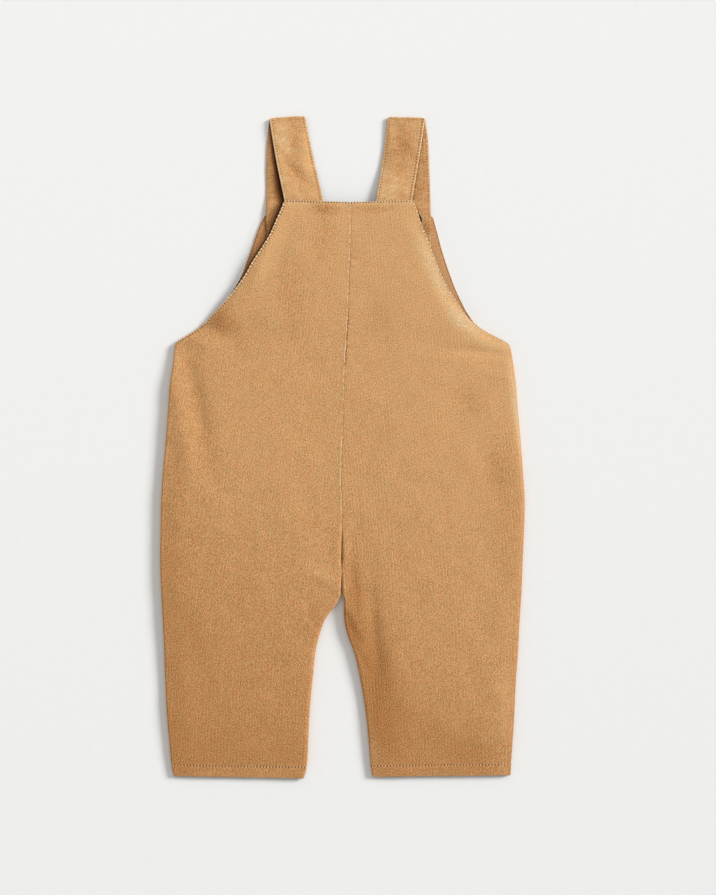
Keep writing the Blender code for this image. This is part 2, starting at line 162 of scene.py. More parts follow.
STRAPS = {
    "left": {
        "back": table(
            STRAP_EDGES,
            (-43.1, 180.9, -14, 180.7, 3.4), (-44.1, 186.2, -14.9, 186, 3.4),
            (-50.2, 216, -21.7, 216.8, 1.6), (-55.6, 247.8, -28.5, 249.5, 1.3),
        ),
        "front": table(
            STRAP_EDGES,
            (-55.6, 247.8, -28.5, 249.5, 0), (-56.9, 236, -29.4, 237, 0), (-58, 212, -30.2, 212, 0),
            (-58.2, 188.5, -30.4, 188.5, 0), (-58.3, 177, -30.5, 177, BIB_CLIMB),
            (-58.5, 160, -30.7, 160, BIB_CLIMB), (-58.6, 140, -30.8, 140, BIB_CLIMB),
        ),
        "stud_x": -43.4,
    },
    "right": {
        "back": table(
            STRAP_EDGES,
            (24.1, 180.9, 51.6, 180.7, 3.4), (24.9, 186.2, 52.4, 186, 3.4), (29.9, 216.8, 57.5, 216.2, 1.6),
            (33.9, 248.8, 62.3, 248, 1.3),
        ),
        "front": table(
            STRAP_EDGES,
            (33.9, 248.8, 62.3, 248, 0), (35.9, 237, 64, 237, 0), (37.3, 214, 65.4, 214, 0),
            (38.3, 188.5, 66.3, 188.5, 0), (38.6, 177, 66.5, 177, BIB_CLIMB),
            (38.8, 160, 66.8, 160, BIB_CLIMB), (38.9, 140, 66.9, 140, BIB_CLIMB),
        ),
        "stud_x": 53.9,
    },
}

# How far each strap's inner edge sinks where the front half no longer lies under it
STRAP_SAG = table(
    "y drop reach",
    (250, 0, 1), (241, 0.5, 2.5), (230, 1.1, 5), (214, 1.3, 9), (200, 1.2, 11), (190, 0.6, 12),
    (180, 0.3, 12),
)

# ---- Creases, seams and stitching ----

# The large ones
FOLDS = table(
    CREASE,
    (-124.5, 26, 48, 6.6, 11, 1.1), (-110, 32, 40, 6.8, 12, -1.4), (-100, 88, 15, 6, 68, -1.2),
    (95, 92, 18, 8, 52, 0.8), (104, 72, 26, 4.4, 84, -1.5, -1), (92, 38, 20, 9, 110, -0.5),
    (23, -142, 44, 7.5, 6, -1.2), (-14, -100, 13, 5, 70, 1), (78, -222, 26, 10, 80, -0.6),
)

# Fine ones on the back panels
BACK_CREASES = table(
    CREASE,
    # bib: hollows below the straps, the armhole's pull and the seam's puckers
    (-11, 178, 12, 5, 80, -0.3, 1), (38, 180, 15, 4.5, 90, -0.3), (-56, 152, 24, 4, -22, 0.55, 1.5),
    (-46, 144, 20, 3.6, -14, -0.35, 1), (-66, 131, 12, 2.4, -20, 0.35), (-82, 111, 9, 2.4, -24, 0.3),
    (60, 150, 34, 5, 22, 0.3, -1.5), (9, 141, 6, 1.8, 58, -0.22), (2.5, 142, 5, 1.8, -55, -0.18),
    (12, 118, 12, 3, -66, -0.14), (36, 108, 26, 9, -40, -0.2, 3), (-34, 118, 22, 10, 10, -0.18),
    # underarms and sides
    (-114, 80, 12, 4.2, 80, 0.8), (-120, 64, 14, 3, 38, -0.35, -1), (-109, 18, 24, 5, 10, 0.22),
    (-104, -2, 20, 7, 4, -0.22), (116, 54, 16, 2.8, 80, 0.36, -1), (118, 61, 18, 3, 78, -0.22),
    (112, -18, 22, 8, 30, -0.25), (122, -48, 24, 7, -4, 0.22), (104, -70, 30, 10, 24, -0.18, 2),
    # seat and crotch
    (14, 62, 11, 2.2, 84, -0.12), (13, 75, 10, 2.4, 96, -0.12), (-9, -26, 8, 1.8, 70, 0.14),
    (-9, -31, 8, 1.8, 74, -0.14), (-8, -38, 7, 1.8, 78, 0.12), (9, -62, 24, 3, -6, -0.3),
    (-5, -80, 16, 2.2, 2, 0.3), (8.5, -103, 22, 2.8, 7, -0.9, 0.8), (3, -106, 14, 1.6, 5, -0.35),
    (23.5, -136, 30, 3, 5, -0.6, 1.5), (8, -136, 14, 1.6, 30, -0.45), (11, -144, 10, 1.4, 34, -0.4),
    (48, -170, 60, 16, 6, 0.15), (14, -124, 20, 2.6, 24, 0.3), (4, -134, 15, 3.6, 22, -1),
    (13, -158, 14, 2.2, 30, -0.4), (23, -184, 22, 4.4, -6, -0.5, 1), (36, -150, 30, 7, 12, 0.3, 1),
    (-20, -132, 12, 4, 34, -0.4, 1), (-27, -118, 12, 3.4, 50, -0.2),
    # legs and hems
    (-96, -130, 26, 12, -30, -0.2, 4), (-60, -170, 34, 14, 60, 0.16, 3),
    (-110, -200, 30, 10, -12, -0.16, 2), (70, -120, 40, 12, 18, 0.18, 4), (112, -150, 26, 8, 8, -0.2),
    (110, -180, 24, 7, -8, 0.18), (40, -228, 24, 5, 86, -0.14, 1), (-52, -232, 30, 5, 94, -0.14, 1),
)

STRAP_CREASES = table(
    CREASE,
    (-53, 224, 30, 8, 10, 0.9), (-32, 204, 18, 4, 48, -0.6, 1), (-24, 198, 12, 3, 40, -0.3),
    (-36, 234, 12, 5, 20, 0.2), (60, 226, 22, 8, -10, 0.6), (42, 238, 14, 4, 26, -0.35),
    (52, 216, 14, 3.6, -20, -0.2), (27, 198, 20, 6, -6, 0.6),
)

# The centre back seam: how far the two panels turn down into it, and how far they part there
BACK_SEAM = table(
    "y left right part",
    (187, 0.05, 0.05, 0), (-50, 0.05, 0.05, 0), (-62, 0.16, 0.16, 0), (-71, 0.5, 0.5, 0.2),
    (-75, 0.7, 0.6, 0.3), (-84, 0.9, 0.8, 0.5), (-88.5, 0.7, 0.6, 0.3), (-92, 0.36, 0.4, 0),
    (-96, 0.36, 0.4, 0), (-99.5, 0.6, 0.5, 0.2), (-106, 0.8, 0.7, 0.4), (-112.7, 1, 1, 1),
    (-118, 1, 1, 0.6), (-124, 1, 1, 0),
)
FRONT_SEAM = table(
    "y left right part",
    (187, 0, 0, 0), (-96, 0, 0, 0), (-104, 0.2, 0.2, 0.5), (-112.7, 0.9, 0.9, 1.2), (-118, 1, 1, 0.6),
    (-124, 1, 1, 0),
)
SEAM_GAP = 0.03  # between two sewn pieces
SEAM_VALLEY = 0.35  # how far a side seam is drawn in
SEAM_VALLEY_REACH = 0.7
SEAM_VALLEY_LEAN = 1.0  # where the cloth has turned over further than this, in radians
SEAM_STEP = {"left": 0.22, "right": -0.10}  # the seam's turnings lie under the left panel
SEAM_STEP_REACH = 1.3
SEAM_FADE = (-62.0, -40.0)  # between these the centre seam's wobble and step end
SIDE_FADE = (108.0, 79.0)  # between these the free armhole edge turns into the sewn side

# Needlecord's ribs run down the leg, and lean away from the centre seam as they go down
GRAIN_LEAN = table(
    SIDES,
    (190, 6, 5), (0, 6.8, 5.4), (-90, 7, 4.4), (-190, 3.2, 2.8), (-252, 2.4, 2.4),
)

# How deep the pile's colour is, from 0 to 1, down the garment: partly the pile lying over, partly painted
# fall-off of light towards the hems
PILE_AND_PAINTED_FALLOFF = table(
    "y depth",
    (250, 0.02), (190, 0.06), (150, 0.12), (54, 0.26), (-36, 0.35), (-97, 0.46), (-157, 0.55), (-218, 0.7),
    (-252, 0.78),
)
PAINTED_LIGHT_ACROSS = -0.0013  # painted light: paler for each mm towards +X, the lit side

# Patches of pile brushed one way or the other, and of painted light and shade: a rise above 0 paints shade
# on hollows and the strap's shaded edge, below 0 paints light on slopes that face it
PILE_AND_PAINTED_LIGHT_PATCHES = table(
    CREASE,
    (5, 184.5, 80, 2.6, 90, -0.26), (-14, 179.5, 10, 4, 84, 0.52), (23, 180, 12, 3.2, 92, 0.44),
    (-13, 160, 30, 9, 0, 0.22), (68, 134, 40, 7, 25, -0.42), (94, 93, 16, 7, 52, -0.45),
    (-58, 140, 26, 7, -20, -0.2), (-38, 114, 22, 12, 0, 0.18), (30, 100, 20, 10, -40, 0.12),
    (-92, 95, 13, 8, 60, 0.55), (-106, 26, 36, 6, 10, 0.16), (96, 36, 14, 10, 50, 0.22),
    (120, -18, 26, 12, 0, 0.3), (126, -66, 34, 9, 0, 0.2), (-128, -90, 110, 12, 0, 0.12),
    (24, -168, 60, 16, 8, 0.48), (9, -108, 22, 5, 6, 0.35), (56, -212, 40, 26, 80, 0.16),
    (98, -232, 26, 12, 80, 0.22), (124, -200, 34, 6, 0, -0.2), (-22, -128, 18, 5, 20, 0.25),
    (-17, -94, 12, 9, 60, -0.12), (-78, -247, 60, 6, 90, -0.2), (-80, 0, 60, 34, 0, -0.1),
    (5, -134, 16, 5, 22, 0.45), (-38, 214, 40, 13, 12, -0.14), (-112, -140, 26, 8, 10, 0.12),
    (-34, 207, 16, 5, 36, 0.6), (-36, 234, 16, 4, 0, 0.35), (-46, 234, 14, 4.5, 8, -0.25),
    (46, 226, 14, 6.5, 0, 0.7), (33, 198, 12, 7, 0, -0.3), (62, 166, 4, 5, 0, 0.4),
    (52, 216, 70, 24, 0, 0.16), (-40, 248.5, 24, 2.5, 90, 0.3), (52, 248.5, 24, 2.5, 90, 0.3),
    (130.8, 28, 46, 3, 7, -0.55), (112, 76, 14, 4, 84, -0.25), (-58.6, 166, 11, 0.8, 0, 1.6),
    (22.8, -230, 26, 4.5, 6, -0.2),
)
STRAP_FRONT_NAP = 0.40  # more, where the strap lies on the front
# Added depth of the reverse on each side: below 0 on the left, which paints warm bounce light on the shaded
# cloth there
REVERSE_TONE_AND_BOUNCE = {"left": -0.40, "right": 0.05}

# Painted shade between layers: how far it reaches out from under the layer above, on each side
PAINTED_SHADE_REACH = table(
    SIDES,
    (250, 0.9, 0.4), (225, 1.5, 0.4), (210, 2.4, 0.4), (194, 3.4, 0.5), (180, 2.2, 0.5), (165, 1.5, 0.5),
    (75, 1.5, 0.5),
)
PAINTED_SHADE_SHARE = {"left": 1.0, "right": 0.25}
EVEN_PAINTED_SHADE = 0.4  # share of the reach over which the painted shade is even
PAINTED_DIM_SHARE = {"left": 0.16, "right": 0.0}  # a fainter painted shade, which reaches further
PAINTED_DIM_REACH = 9.0
COVERED = 0.3  # how far in under the layer above the painted shade is full

# Topstitching, and the beads of cloth that it draws up along an edge, painted bright as highlights
STITCH_PITCH = 2.2
HEM_PITCH = 2.4
THREAD_RADIUS = 0.2
THREAD_FLOOR = 0.26  # the least height of a stitch's holes
ARMHOLE_INSET = {"left": 1.2, "right": 0.4}
ARMHOLE_END = 76.0
TOP_INSET = 0.6
STRAP_INSET = 1.9
HEM_LINE = 8.4
HEM_STEP = 0.25  # the turned-up hem stands higher than the leg
GROOVE_DEPTH = 0.13
GROOVE_WIDTH = 0.5
BEAD_PITCH = 3.15
BEAD_BULGE = {"left": 0.14, "right": 0.0}  # sideways
BEAD_SWELL = 0.36  # upwards, this far in from the edge and this wide
BEAD_INSET = 0.5
BEAD_WIDTH = 0.45
BEADS_FADE = (98.0, 124.0)  # between these the armhole's beads weaken towards the underarm
BEADS_LEAST = 0.3
BETWEEN_BEADS = 0.05  # how pale the cloth is painted there, as wear and highlight, and how much more on a bead
ON_BEADS = 1.15
EDGE_ROUND = 0.5
HEM_ROUND = 1.1
FRONT_WAVES = 0.4  # what the front's inner face has of the broad waves and of the grooves
FRONT_GROOVES = 1.8

# Ripples along a seam that die away from it. slant is how far they lean for each mm from it.
Pucker = namedtuple("Pucker", "height pitch reach slant")
SEAM_PUCKER = Pucker(0.10, 5.6, 5.0, 0.3)
ARMHOLE_PUCKER = Pucker(0.09, 4.4, 3.0, 0.0)
HEM_ROPING = Pucker(0.10, 5.2, math.inf, -0.55)

# How pale each edge is painted, partly as wear and partly as a painted highlight, and how dark its needle
# holes are painted as shade
Trim = namedtuple("Trim", "worn holes")
ARMHOLE_TRIM = {"left": Trim(1.0, 1.0), "right": Trim(0.75, 0.6)}
TOP_TRIM = Trim(0.3, 1.5)
HEM_TRIM = Trim(0.1, 1.2)
# Painted highlight on the left back panel's rim at the centre seam
SEAM_HIGHLIGHT = 0.34
STRAP_TRIM = {
    "left": (Trim(0.5, 0.35), Trim(0.0, 0.42)),
    "right": (Trim(0.15, 0.6), Trim(0.15, 0.8)),
}
STRAP_FRONT_TRIM = Trim(0.0, 0.2)

# A strap's profile: the bead along its edge, its fuller middle and its rounded edges and corners
STRAP_BEAD = 0.08
STRAP_BEAD_INSET = 0.95
STRAP_BEAD_WIDTH = 0.5
STRAP_BELLY = 0.10
STRAP_BELLY_INSET = 9.0
STRAP_ROUND = 0.75
STRAP_FRONT_ROUND = 2.75
FOLD_CORNER = 0.9
FOLD_CORNER_REACH = 2.6
# Its bend runs from 0 on the back to pi on the front, and these are limits on the way.
LYING = 0.1
PAST_FOLD = 2.0
UNDER_FOLD = 2.5
ON_FRONT = 3.0

# How dark the centre seam's ditch is painted down the back, as shade
DITCH_PITCH = 2.9
DITCH_INSET = 0.25
DITCH_WIDTH = 0.6
PAINTED_SEAM_SHADE = table(
    "y share",
    (186, 0.06), (158, 0.06), (146, 0.5), (104, 0.5), (98, 0.95), (66, 0.95), (58, 0.38), (-50, 0.38),
    (-70, 0.5), (-80, 0),
)

PAINTED_SIDE_SHADE = 0.26  # a faint painted shade down the right side's edge
SIDE_SHADE_REACH = 2.6

# Fine mesh: columns near a seam as shares of its curl, and near another edge as distances from it.
# Rows are a step apart, and take the slope of the top and of the hem within a slant's distance.
SEAM_SHARES = (0.0, 0.02, 0.09, 0.2, 0.36, 0.56, 0.78, 1.0, 1.4, 1.9)
EDGE_BANDS = (0.0, 0.08, 0.28, 0.6, 0.95, 1.3, 1.6, 1.9, 2.25, 2.7, 3.3, 4.0, 5.0, 6.5)
BACK_ROWS = table(
    "y step",
    (187, 0.12), (184.5, 0.3), (180, 0.62), (110, 0.62), (92, 0.42), (78, 0.36), (73, 0.8), (62, 1.7),
    (-60, 1.7), (-72, 1.1), (-125, 1.1), (-140, 1.7), (-236, 1.6), (-239, 0.5), (-241.5, 0.35), (-244, 0.7),
    (-247.5, 0.6), (-249, 0.3), (-251, 0.15),
)
FRONT_ROWS = table(
    "y step",
    (176, 0.15), (172, 0.5), (165, 0.9), (110, 0.9), (92, 0.6), (78, 0.5), (73, 1.5), (60, 4), (-90, 4),
    (-104, 1.8), (-125, 1.8), (-150, 4), (-232, 3.5), (-239, 0.7), (-241.5, 0.5), (-244, 1), (-247.5, 0.8),
    (-249, 0.4), (-251, 0.2),
)
TOP_SLANT = 30.0
HEM_SLANT = 60.0
BACK_MIDDLE = 56  # columns between those at the seam and those at the edge
FRONT_MIDDLE = 24
STRAP_BANDS = (0.0, 0.06, 0.22, 0.45, 0.75, 1.05, 1.35, 1.65, 1.9, 2.15, 2.45, 2.8, 3.4)
STRAP_ROW_STEP = 0.6
STRAP_MIDDLE = 7
FOLD_STEPS = 17
EDGE_STRETCH = 1.9  # the most that edge bands widen where the edge slants
ARMHOLE_STEP = 0.2  # between the points of an edge's line
COVER_STEP = 0.5
SHARP_DEGREES = 66.0
FAR = 20.0  # past the reach of any stitch line or edge
ON_BIB = {"left": (-30.0, 100.0), "right": (30.0, 100.0)}  # a place well inside each panel

# Seeds of the random waves
PANEL_SEED = {"left": 11, "right": 23}
STRAP_SEED = {"left": 51, "right": 67}
NAP_SEED = {"left": 71, "right": 83}
STRAP_NAP_SEED = 91
# fmt: on

# ---- Curves and fields ----


def columns(rows, *names):
    return [[getattr(row, name) for row in rows] for name in names]


def smooth_curve(places, values):
    """A function that runs smoothly through the values given at the places, in any order."""
    order = np.argsort(places)
    at = np.asarray(places, float)[order]
    value = np.asarray(values, float)[order]
    slope = np.gradient(value, at)

    def curve(place):
        i = np.clip(np.searchsorted(at, place) - 1, 0, len(at) - 2)
        span = at[i + 1] - at[i]
        t = np.clip((place - at[i]) / span, 0.0, 1.0)
        return (
            value[i] * (1 + 2 * t) * (1 - t) ** 2
            + value[i + 1] * t**2 * (3 - 2 * t)
            + span * t * (1 - t) * (slope[i] * (1 - t) - slope[i + 1] * t)
        )

    return curve


def table_curve(rows, column):
    return smooth_curve(*columns(rows, "y", column))


def straight_curve(rows, column):
    """Straight lines between a table's rows, for values that must not overshoot."""
    at, values = columns(sorted(rows), "y", column)
    return lambda y: np.interp(y, at, values)


def ease(low, high, value):
    """0 below low, 1 above high, with a soft start and end. low may be the greater of the two."""
    t = np.clip((value - low) / (high - low), 0.0, 1.0)
    return t * t * (3 - 2 * t)


def bell(distance, reach):
    """1 at no distance, and almost nothing at twice the reach."""
    return np.exp(-((distance / reach) ** 2))


def ripple(place, pitch):
    return np.cos(2 * math.pi * place / pitch)


def pulse(place, pitch=1.0):
    """1 at whole pitches and 0 halfway between them."""
    return 0.5 + 0.5 * ripple(place, pitch)


def between(ends, share):
    return ends.inner + (ends.outer - ends.inner) * share


def graded_places(top, bottom, spacing, samples=6001):
    """Places from top down to bottom, as far apart as the table says."""
    fine = np.linspace(top, bottom, samples)
    step = straight_curve(spacing, "step")(fine)
    count = np.concatenate([[0.0], np.cumsum((fine[0] - fine[1]) * 2 / (step[1:] + step[:-1]))])
    return np.interp(np.linspace(0, count[-1], round(count[-1]) + 1), count, fine)


def crease_rise(creases, x, y):
    """Height that soft ridges and troughs add at x, y."""
    total = np.zeros(np.broadcast(x, y).shape)
    for crease in creases:
        turn = math.radians(crease.turn)
        along = ((y - crease.y) * math.cos(turn) - (x - crease.x) * math.sin(turn)) / crease.length
        across = (y - crease.y) * math.sin(turn) + (x - crease.x) * math.cos(turn)
        across = (across - crease.bow * along**2) / crease.width
        total += crease.rise * np.exp(-(along**2) - across**2)
    return total


def waves(seed, shortest, longest, height, count=28):
    """Low random waves of many lengths and directions, as a function of x and y."""
    draw = np.random.default_rng(seed)
    length = np.exp(draw.uniform(math.log(shortest), math.log(longest), count))
    heading = draw.uniform(0, math.pi, count)
    start = draw.uniform(0, 2 * math.pi, count)

    def wave(x, y):
        total = np.zeros(np.broadcast(x, y).shape)
        for k in range(count):
            turn = 2 * math.pi / length[k]
            total += np.cos((x * math.cos(heading[k]) + y * math.sin(heading[k])) * turn + start[k])
        return total * height / math.sqrt(count / 2)

    return wave


seam_x = table_curve(CENTRE_SEAM, "x")
pile_and_painted_falloff_down = table_curve(PILE_AND_PAINTED_FALLOFF, "depth")
loft_centre = table_curve(LOFT, "centre")
painted_seam_shade_share = straight_curve(PAINTED_SEAM_SHADE, "share")
seam_wobble = waves(5, 8.0, 40.0, 0.16, 14)
sewing_breaks = waves(7, 3.0, 14.0, 0.5, 16)
strap_blotches = waves(31, 3.5, 18.0, 0.11, 50)

Line = namedtuple("Line", "points along tangent inward")


def make_line(x, y, towards):
    """A line through close points, and the sideways direction on it that points to towards."""
    points = np.column_stack([x, y]).astype(float)
    tangent = np.gradient(points, axis=0)
    step = np.hypot(tangent[:, 0], tangent[:, 1])
    along = np.concatenate([[0.0], np.cumsum(np.hypot(*np.diff(points, axis=0).T))])
    tangent = tangent / step[:, None]
    inward = np.column_stack([-tangent[:, 1], tangent[:, 0]])
    middle = len(points) // 2
    if np.dot(inward[middle], np.asarray(towards) - points[middle]) < 0:
        inward = -inward
    return Line(points, along, tangent, inward)


def measure(line, x, y, reach=18.0, batch=4000):
    """Distance along a line and inwards from it, at each place within reach, and reach elsewhere."""
    place = np.column_stack([x.ravel(), y.ravel()])
    along = np.zeros(len(place))
    inset = np.full(len(place), reach)
    low = line.points.min(0) - reach
    high = line.points.max(0) + reach
    near = np.flatnonzero(((place > low) & (place < high)).all(1))
    for part in np.array_split(near, max(1, len(near) // batch)):
        gap = place[part][:, None] - line.points[None]
        closest = (gap**2).sum(2).argmin(1)
        rest = place[part] - line.points[closest]
        sideways = (rest * line.inward[closest]).sum(1)
        close = np.hypot(rest[:, 0], rest[:, 1]) < reach
        inset[part] = np.where(close, sideways, reach)
        along[part] = line.along[closest] + (rest * line.tangent[closest]).sum(1)
    return along.reshape(x.shape), inset.reshape(x.shape)


def rounded(distance, radius, least=0.03):
    """How full a wall is near its rounded edge: nearly 0 at the edge, and 1 from radius inwards."""
    t = 1 - np.clip(distance / radius, least, 1.0)
    return np.sqrt(1 - t * t)


def groove_depth(offset, hole):
    """The furrow that a stitch line presses into the cloth, deepest at its holes."""
    return GROOVE_DEPTH * (0.5 + hole) * bell(offset, GROOVE_WIDTH)


def pile_and_painted_light(x, y, seed):
    """How deep the pile's colour is at x, y, with painted light and shade in it."""
    blotches = waves(seed, 7.0, 40.0, 0.022, 40)(x, y) + waves(seed + 1, 2.5, 7.0, 0.012, 30)(x, y)
    return pile_and_painted_falloff_down(y) + PAINTED_LIGHT_ACROSS * x + crease_rise(PILE_AND_PAINTED_LIGHT_PATCHES, x, y) + blotches


def cover_line(side):
    """The edge of the upper layer: down the back strap's outer edge, then the back armhole."""
    row_y, row_x = columns(STRAPS[side]["back"], f"{side}_y", f"{side}_x")
    strap_y = np.arange(row_y[-1], BACK_TOP.outer, -COVER_STEP)
    armhole_y = np.arange(BACK_TOP.outer, UNDERARM_Y, -COVER_STEP)
    x = [smooth_curve(row_y, row_x)(strap_y), table_curve(BACK_ARMHOLE, side)(armhole_y)]
    return make_line(np.concatenate(x), np.concatenate([strap_y, armhole_y]), ON_BIB[side])


def painted_shade_under(side, x, y):
    """Painted shade: 1 under the upper layer, falling off with distance out from its edge."""
    _, inset = measure(cover_line(side), x, y)
    reach = straight_curve(PAINTED_SHADE_REACH, side)(y)
    near = PAINTED_SHADE_SHARE[side] * np.exp(-np.maximum(-inset - EVEN_PAINTED_SHADE * reach, 0.0) / reach)
    wide = PAINTED_DIM_SHARE[side] * np.exp(np.minimum(inset, 0.0) / PAINTED_DIM_REACH)
    return np.where(inset > COVERED, 1.0, np.maximum(near, wide))


# ---- Leg panels ----

Layer = namedtuple("Layer", "top armhole seam rows middle seed")
LAYERS = {
    "back": Layer(BACK_TOP, BACK_ARMHOLE, BACK_SEAM, BACK_ROWS, BACK_MIDDLE, 0),
    "front": Layer(FRONT_TOP, FRONT_ARMHOLE, FRONT_SEAM, FRONT_ROWS, FRONT_MIDDLE, 100),
}
Lie = namedtuple("Lie", "x y share to_middle to_side to_top to_hem along inset")
Faces = namedtuple("Faces", "outer inner sewing trim")


def puckers(pucker, along, away):
    """Ripples that sewing leaves along a seam."""
    swing = ripple(along + pucker.slant * away, pucker.pitch)
    return pucker.height * swing * np.exp(-away / pucker.reach)


class Panel:
    """One leg panel: where its edges are, and its two faces as functions of place."""

    def __init__(self, layer, side):
        self.layer = layer
        self.side = side
        self.back = layer == "back"
        self.outward = -1.0 if side == "left" else 1.0
        self.kind = LAYERS[layer]
        self.top = self.kind.top
        self.hem = HEM[side]
        self.armhole_x = table_curve(self.kind.armhole, side)
        self.side_x = table_curve(SIDE_SEAM, side)
        self.inseam_x = table_curve(INSEAM, side)
        self.loft_side = table_curve(LOFT, side)
        self.droop = straight_curve(DROOP, side)
        self.side_droop = straight_curve(SIDE_DROOP, side)
        self.inseam_droop = straight_curve(INSEAM_DROOP, side)
        self.seam_turn = straight_curve(self.kind.seam, side)
        self.seam_part = straight_curve(self.kind.seam, "part")
        self.armhole_y = np.arange(self.top.outer, UNDERARM_Y, -ARMHOLE_STEP)
        self.armhole = make_line(self.armhole_x(self.armhole_y), self.armhole_y, ON_BIB[side])
        seed = PANEL_SEED[side] + self.kind.seed
        self.broad = waves(seed, 22.0, 90.0, 0.11)
        self.small = waves(seed + 1, 5.0, 16.0, 0.014)
        self.strength = waves(seed + 2, 12.0, 60.0, 1.0)

    def edge_x(self, y):
        along = np.interp(-y, -self.armhole_y, self.armhole.along)
        bulge = self.outward * BEAD_BULGE[self.side] * ripple(along, BEAD_PITCH) * ease(*BEADS_FADE, y)
        return np.where(y > UNDERARM_Y, self.armhole_x(y) + bulge, self.side_x(y))

    def middle_x(self, y):
        parted = self.outward * (SEAM_GAP + self.seam_part(y)) / 2
        wobble = seam_wobble(0 * y, y) * ease(*SEAM_FADE, y)
        return np.where(y > CROTCH_Y, seam_x(y) + wobble, self.inseam_x(y)) + parted

    def curl(self, y):
        """Radius in which the cloth turns down at the centre seam and, further down, at the inseam."""
        change = ease(CROTCH_Y, CROTCH_Y - CURL_CHANGE, y)
        return CENTRE_CURL + (INSEAM_CURL[self.side] - CENTRE_CURL) * change

    def lie(self, x, y):
        """How places lie to the panel's edges. share runs from 0 at the middle to 1 at the side."""
        middle = self.middle_x(y)
        edge = self.edge_x(y)
        to_middle = np.abs(x - middle)
        share = to_middle / np.abs(edge - middle)
        to_top = between(self.top, share) - y
        to_hem = y - between(self.hem, share)
        along, inset = measure(self.armhole, x, y)
        return Lie(x, y, share, to_middle, np.abs(edge - x), to_top, to_hem, along, inset)

    def stitching(self, at):
        """Stitches along the nearest stitch line, distance from it and how dark its holes are painted as
        shade.
        """
        offset = at.inset - ARMHOLE_INSET[self.side] + FAR * (at.y < ARMHOLE_END)
        run = at.along / STITCH_PITCH
        holes = np.full_like(offset, ARMHOLE_TRIM[self.side].holes)
        top = (at.to_top - TOP_INSET, at.x / STITCH_PITCH, TOP_TRIM.holes)
        hem = (at.to_hem - HEM_LINE, at.x / HEM_PITCH, HEM_TRIM.holes)
        for line_offset, line_run, line_holes in (top, hem):
            nearer = np.abs(line_offset) < np.abs(offset)
            offset = np.where(nearer, line_offset, offset)
            run = np.where(nearer, line_run, run)
            holes = np.where(nearer, line_holes, holes)
        return run, offset, holes * np.clip(0.85 + sewing_breaks(at.x, at.y), 0.5, 1.1)

    def rims(self, at, free):
        """Distance to the nearest edge, how pale it is painted there as wear and highlight, and how it
        swells in beads.
        """
        armhole_rim = np.where(free > 0.5, np.abs(at.inset), FAR)
        rim = np.minimum(armhole_rim, np.minimum(at.to_top, at.to_hem))
        bead = pulse(at.along, BEAD_PITCH)
        strength = BEADS_LEAST + (1 - BEADS_LEAST) * ease(*BEADS_FADE, at.y)
        worn = ARMHOLE_TRIM[self.side].worn * (BETWEEN_BEADS + ON_BEADS * bead) * strength
        worn = np.where(at.to_top < armhole_rim, TOP_TRIM.worn, worn)
        worn = np.where(at.to_hem < armhole_rim, HEM_TRIM.worn, worn)
        beads = BEAD_SWELL * bell(rim - BEAD_INSET, BEAD_WIDTH) * bead
        # The left panel's rim at the centre seam is painted lighter as a highlight.
        if self.back and self.side == "left":
            seam_rim = at.to_middle + FAR * (at.y < SEAM_FADE[0])
            seam_highlight = SEAM_HIGHLIGHT * np.clip(0.35 + 1.3 * sewing_breaks(0 * at.y, at.y), 0.0, 1.0)
            worn = np.where(seam_rim < rim, seam_highlight, worn)
            rim = np.minimum(seam_rim, rim)
        return rim, worn, beads * worn

    def level(self, at):
        """Height of the back's outer face, before it turns down to its seams."""
        x, y = at.x, at.y
        centre = loft_centre(y)
        level = centre + (self.loft_side(y) - centre) * ease(*LOFT_SPREAD, at.share)
        level = level + crease_rise(FOLDS + BACK_CREASES, x, y)
        level -= self.droop(y) * bell(np.maximum(at.inset, 0), DROOP_REACH)
        level -= self.side_droop(y) * bell(at.to_side, SIDE_DROOP_REACH)
        level -= self.inseam_droop(y) * bell(at.to_middle, INSEAM_DROOP_REACH)
        level += SEAM_STEP[self.side] * bell(at.to_middle, SEAM_STEP_REACH) * ease(*SEAM_FADE, y)
        level += self.broad(x, y) + self.small(x, y)
        ripples = puckers(SEAM_PUCKER, y, at.to_middle)
        ripples += puckers(ARMHOLE_PUCKER, at.along, np.abs(at.inset))
        ripples += puckers(HEM_ROPING, x, at.to_hem) * ease(HEM_DEPTH + 2.0, HEM_DEPTH - 1.5, at.to_hem)
        level += np.clip(0.5 + 0.5 * self.strength(x, y), 0.0, 1.6) * ripples
        return level + HEM_STEP * ease(HEM_LINE + 0.2, HEM_LINE - 1.4, at.to_hem)

    def faces(self, x, y):
        """Outer and inner face over places x, y, and how each place lies to the stitching."""
        at = self.lie(x, y)

        # How far the cloth has turned over into its seams
        turn_in = np.arccos(np.clip(1 - at.to_middle / self.curl(y), 0, 1))
        turn_out = np.arccos(np.clip(1 - at.to_side / SIDE_CURL[self.side], 0, 1))
        into_seam = self.seam_turn(y)
        into_side = ease(*SIDE_FADE, y)
        drop = into_seam * (1 - np.sin(turn_in)) + into_side * (1 - np.sin(turn_out))
        lean_in = into_seam * (math.pi / 2 - turn_in)
        lean_out = into_side * (math.pi / 2 - turn_out)
        middle_half = at.share < 0.5
        lean = np.where(middle_half, lean_in, lean_out)
        inwards = np.where(middle_half, 1.0, -1.0) * self.outward
        side_level = np.minimum(SEAM_LEVEL, 0.5 * self.loft_side(y))
        seam_level = np.where(middle_half, SEAM_LEVEL, side_level)
        free = 1 - into_side

        run, offset, holes = self.stitching(at)
        rim, worn, swell = self.rims(at, free)
        groove = groove_depth(offset, pulse(run))
        if self.back:
            level = self.level(at)
            face = level - drop * (level - seam_level - SEAM_GAP / 2) - groove + swell
        else:
            face = drop * (seam_level - SEAM_GAP / 2) + groove

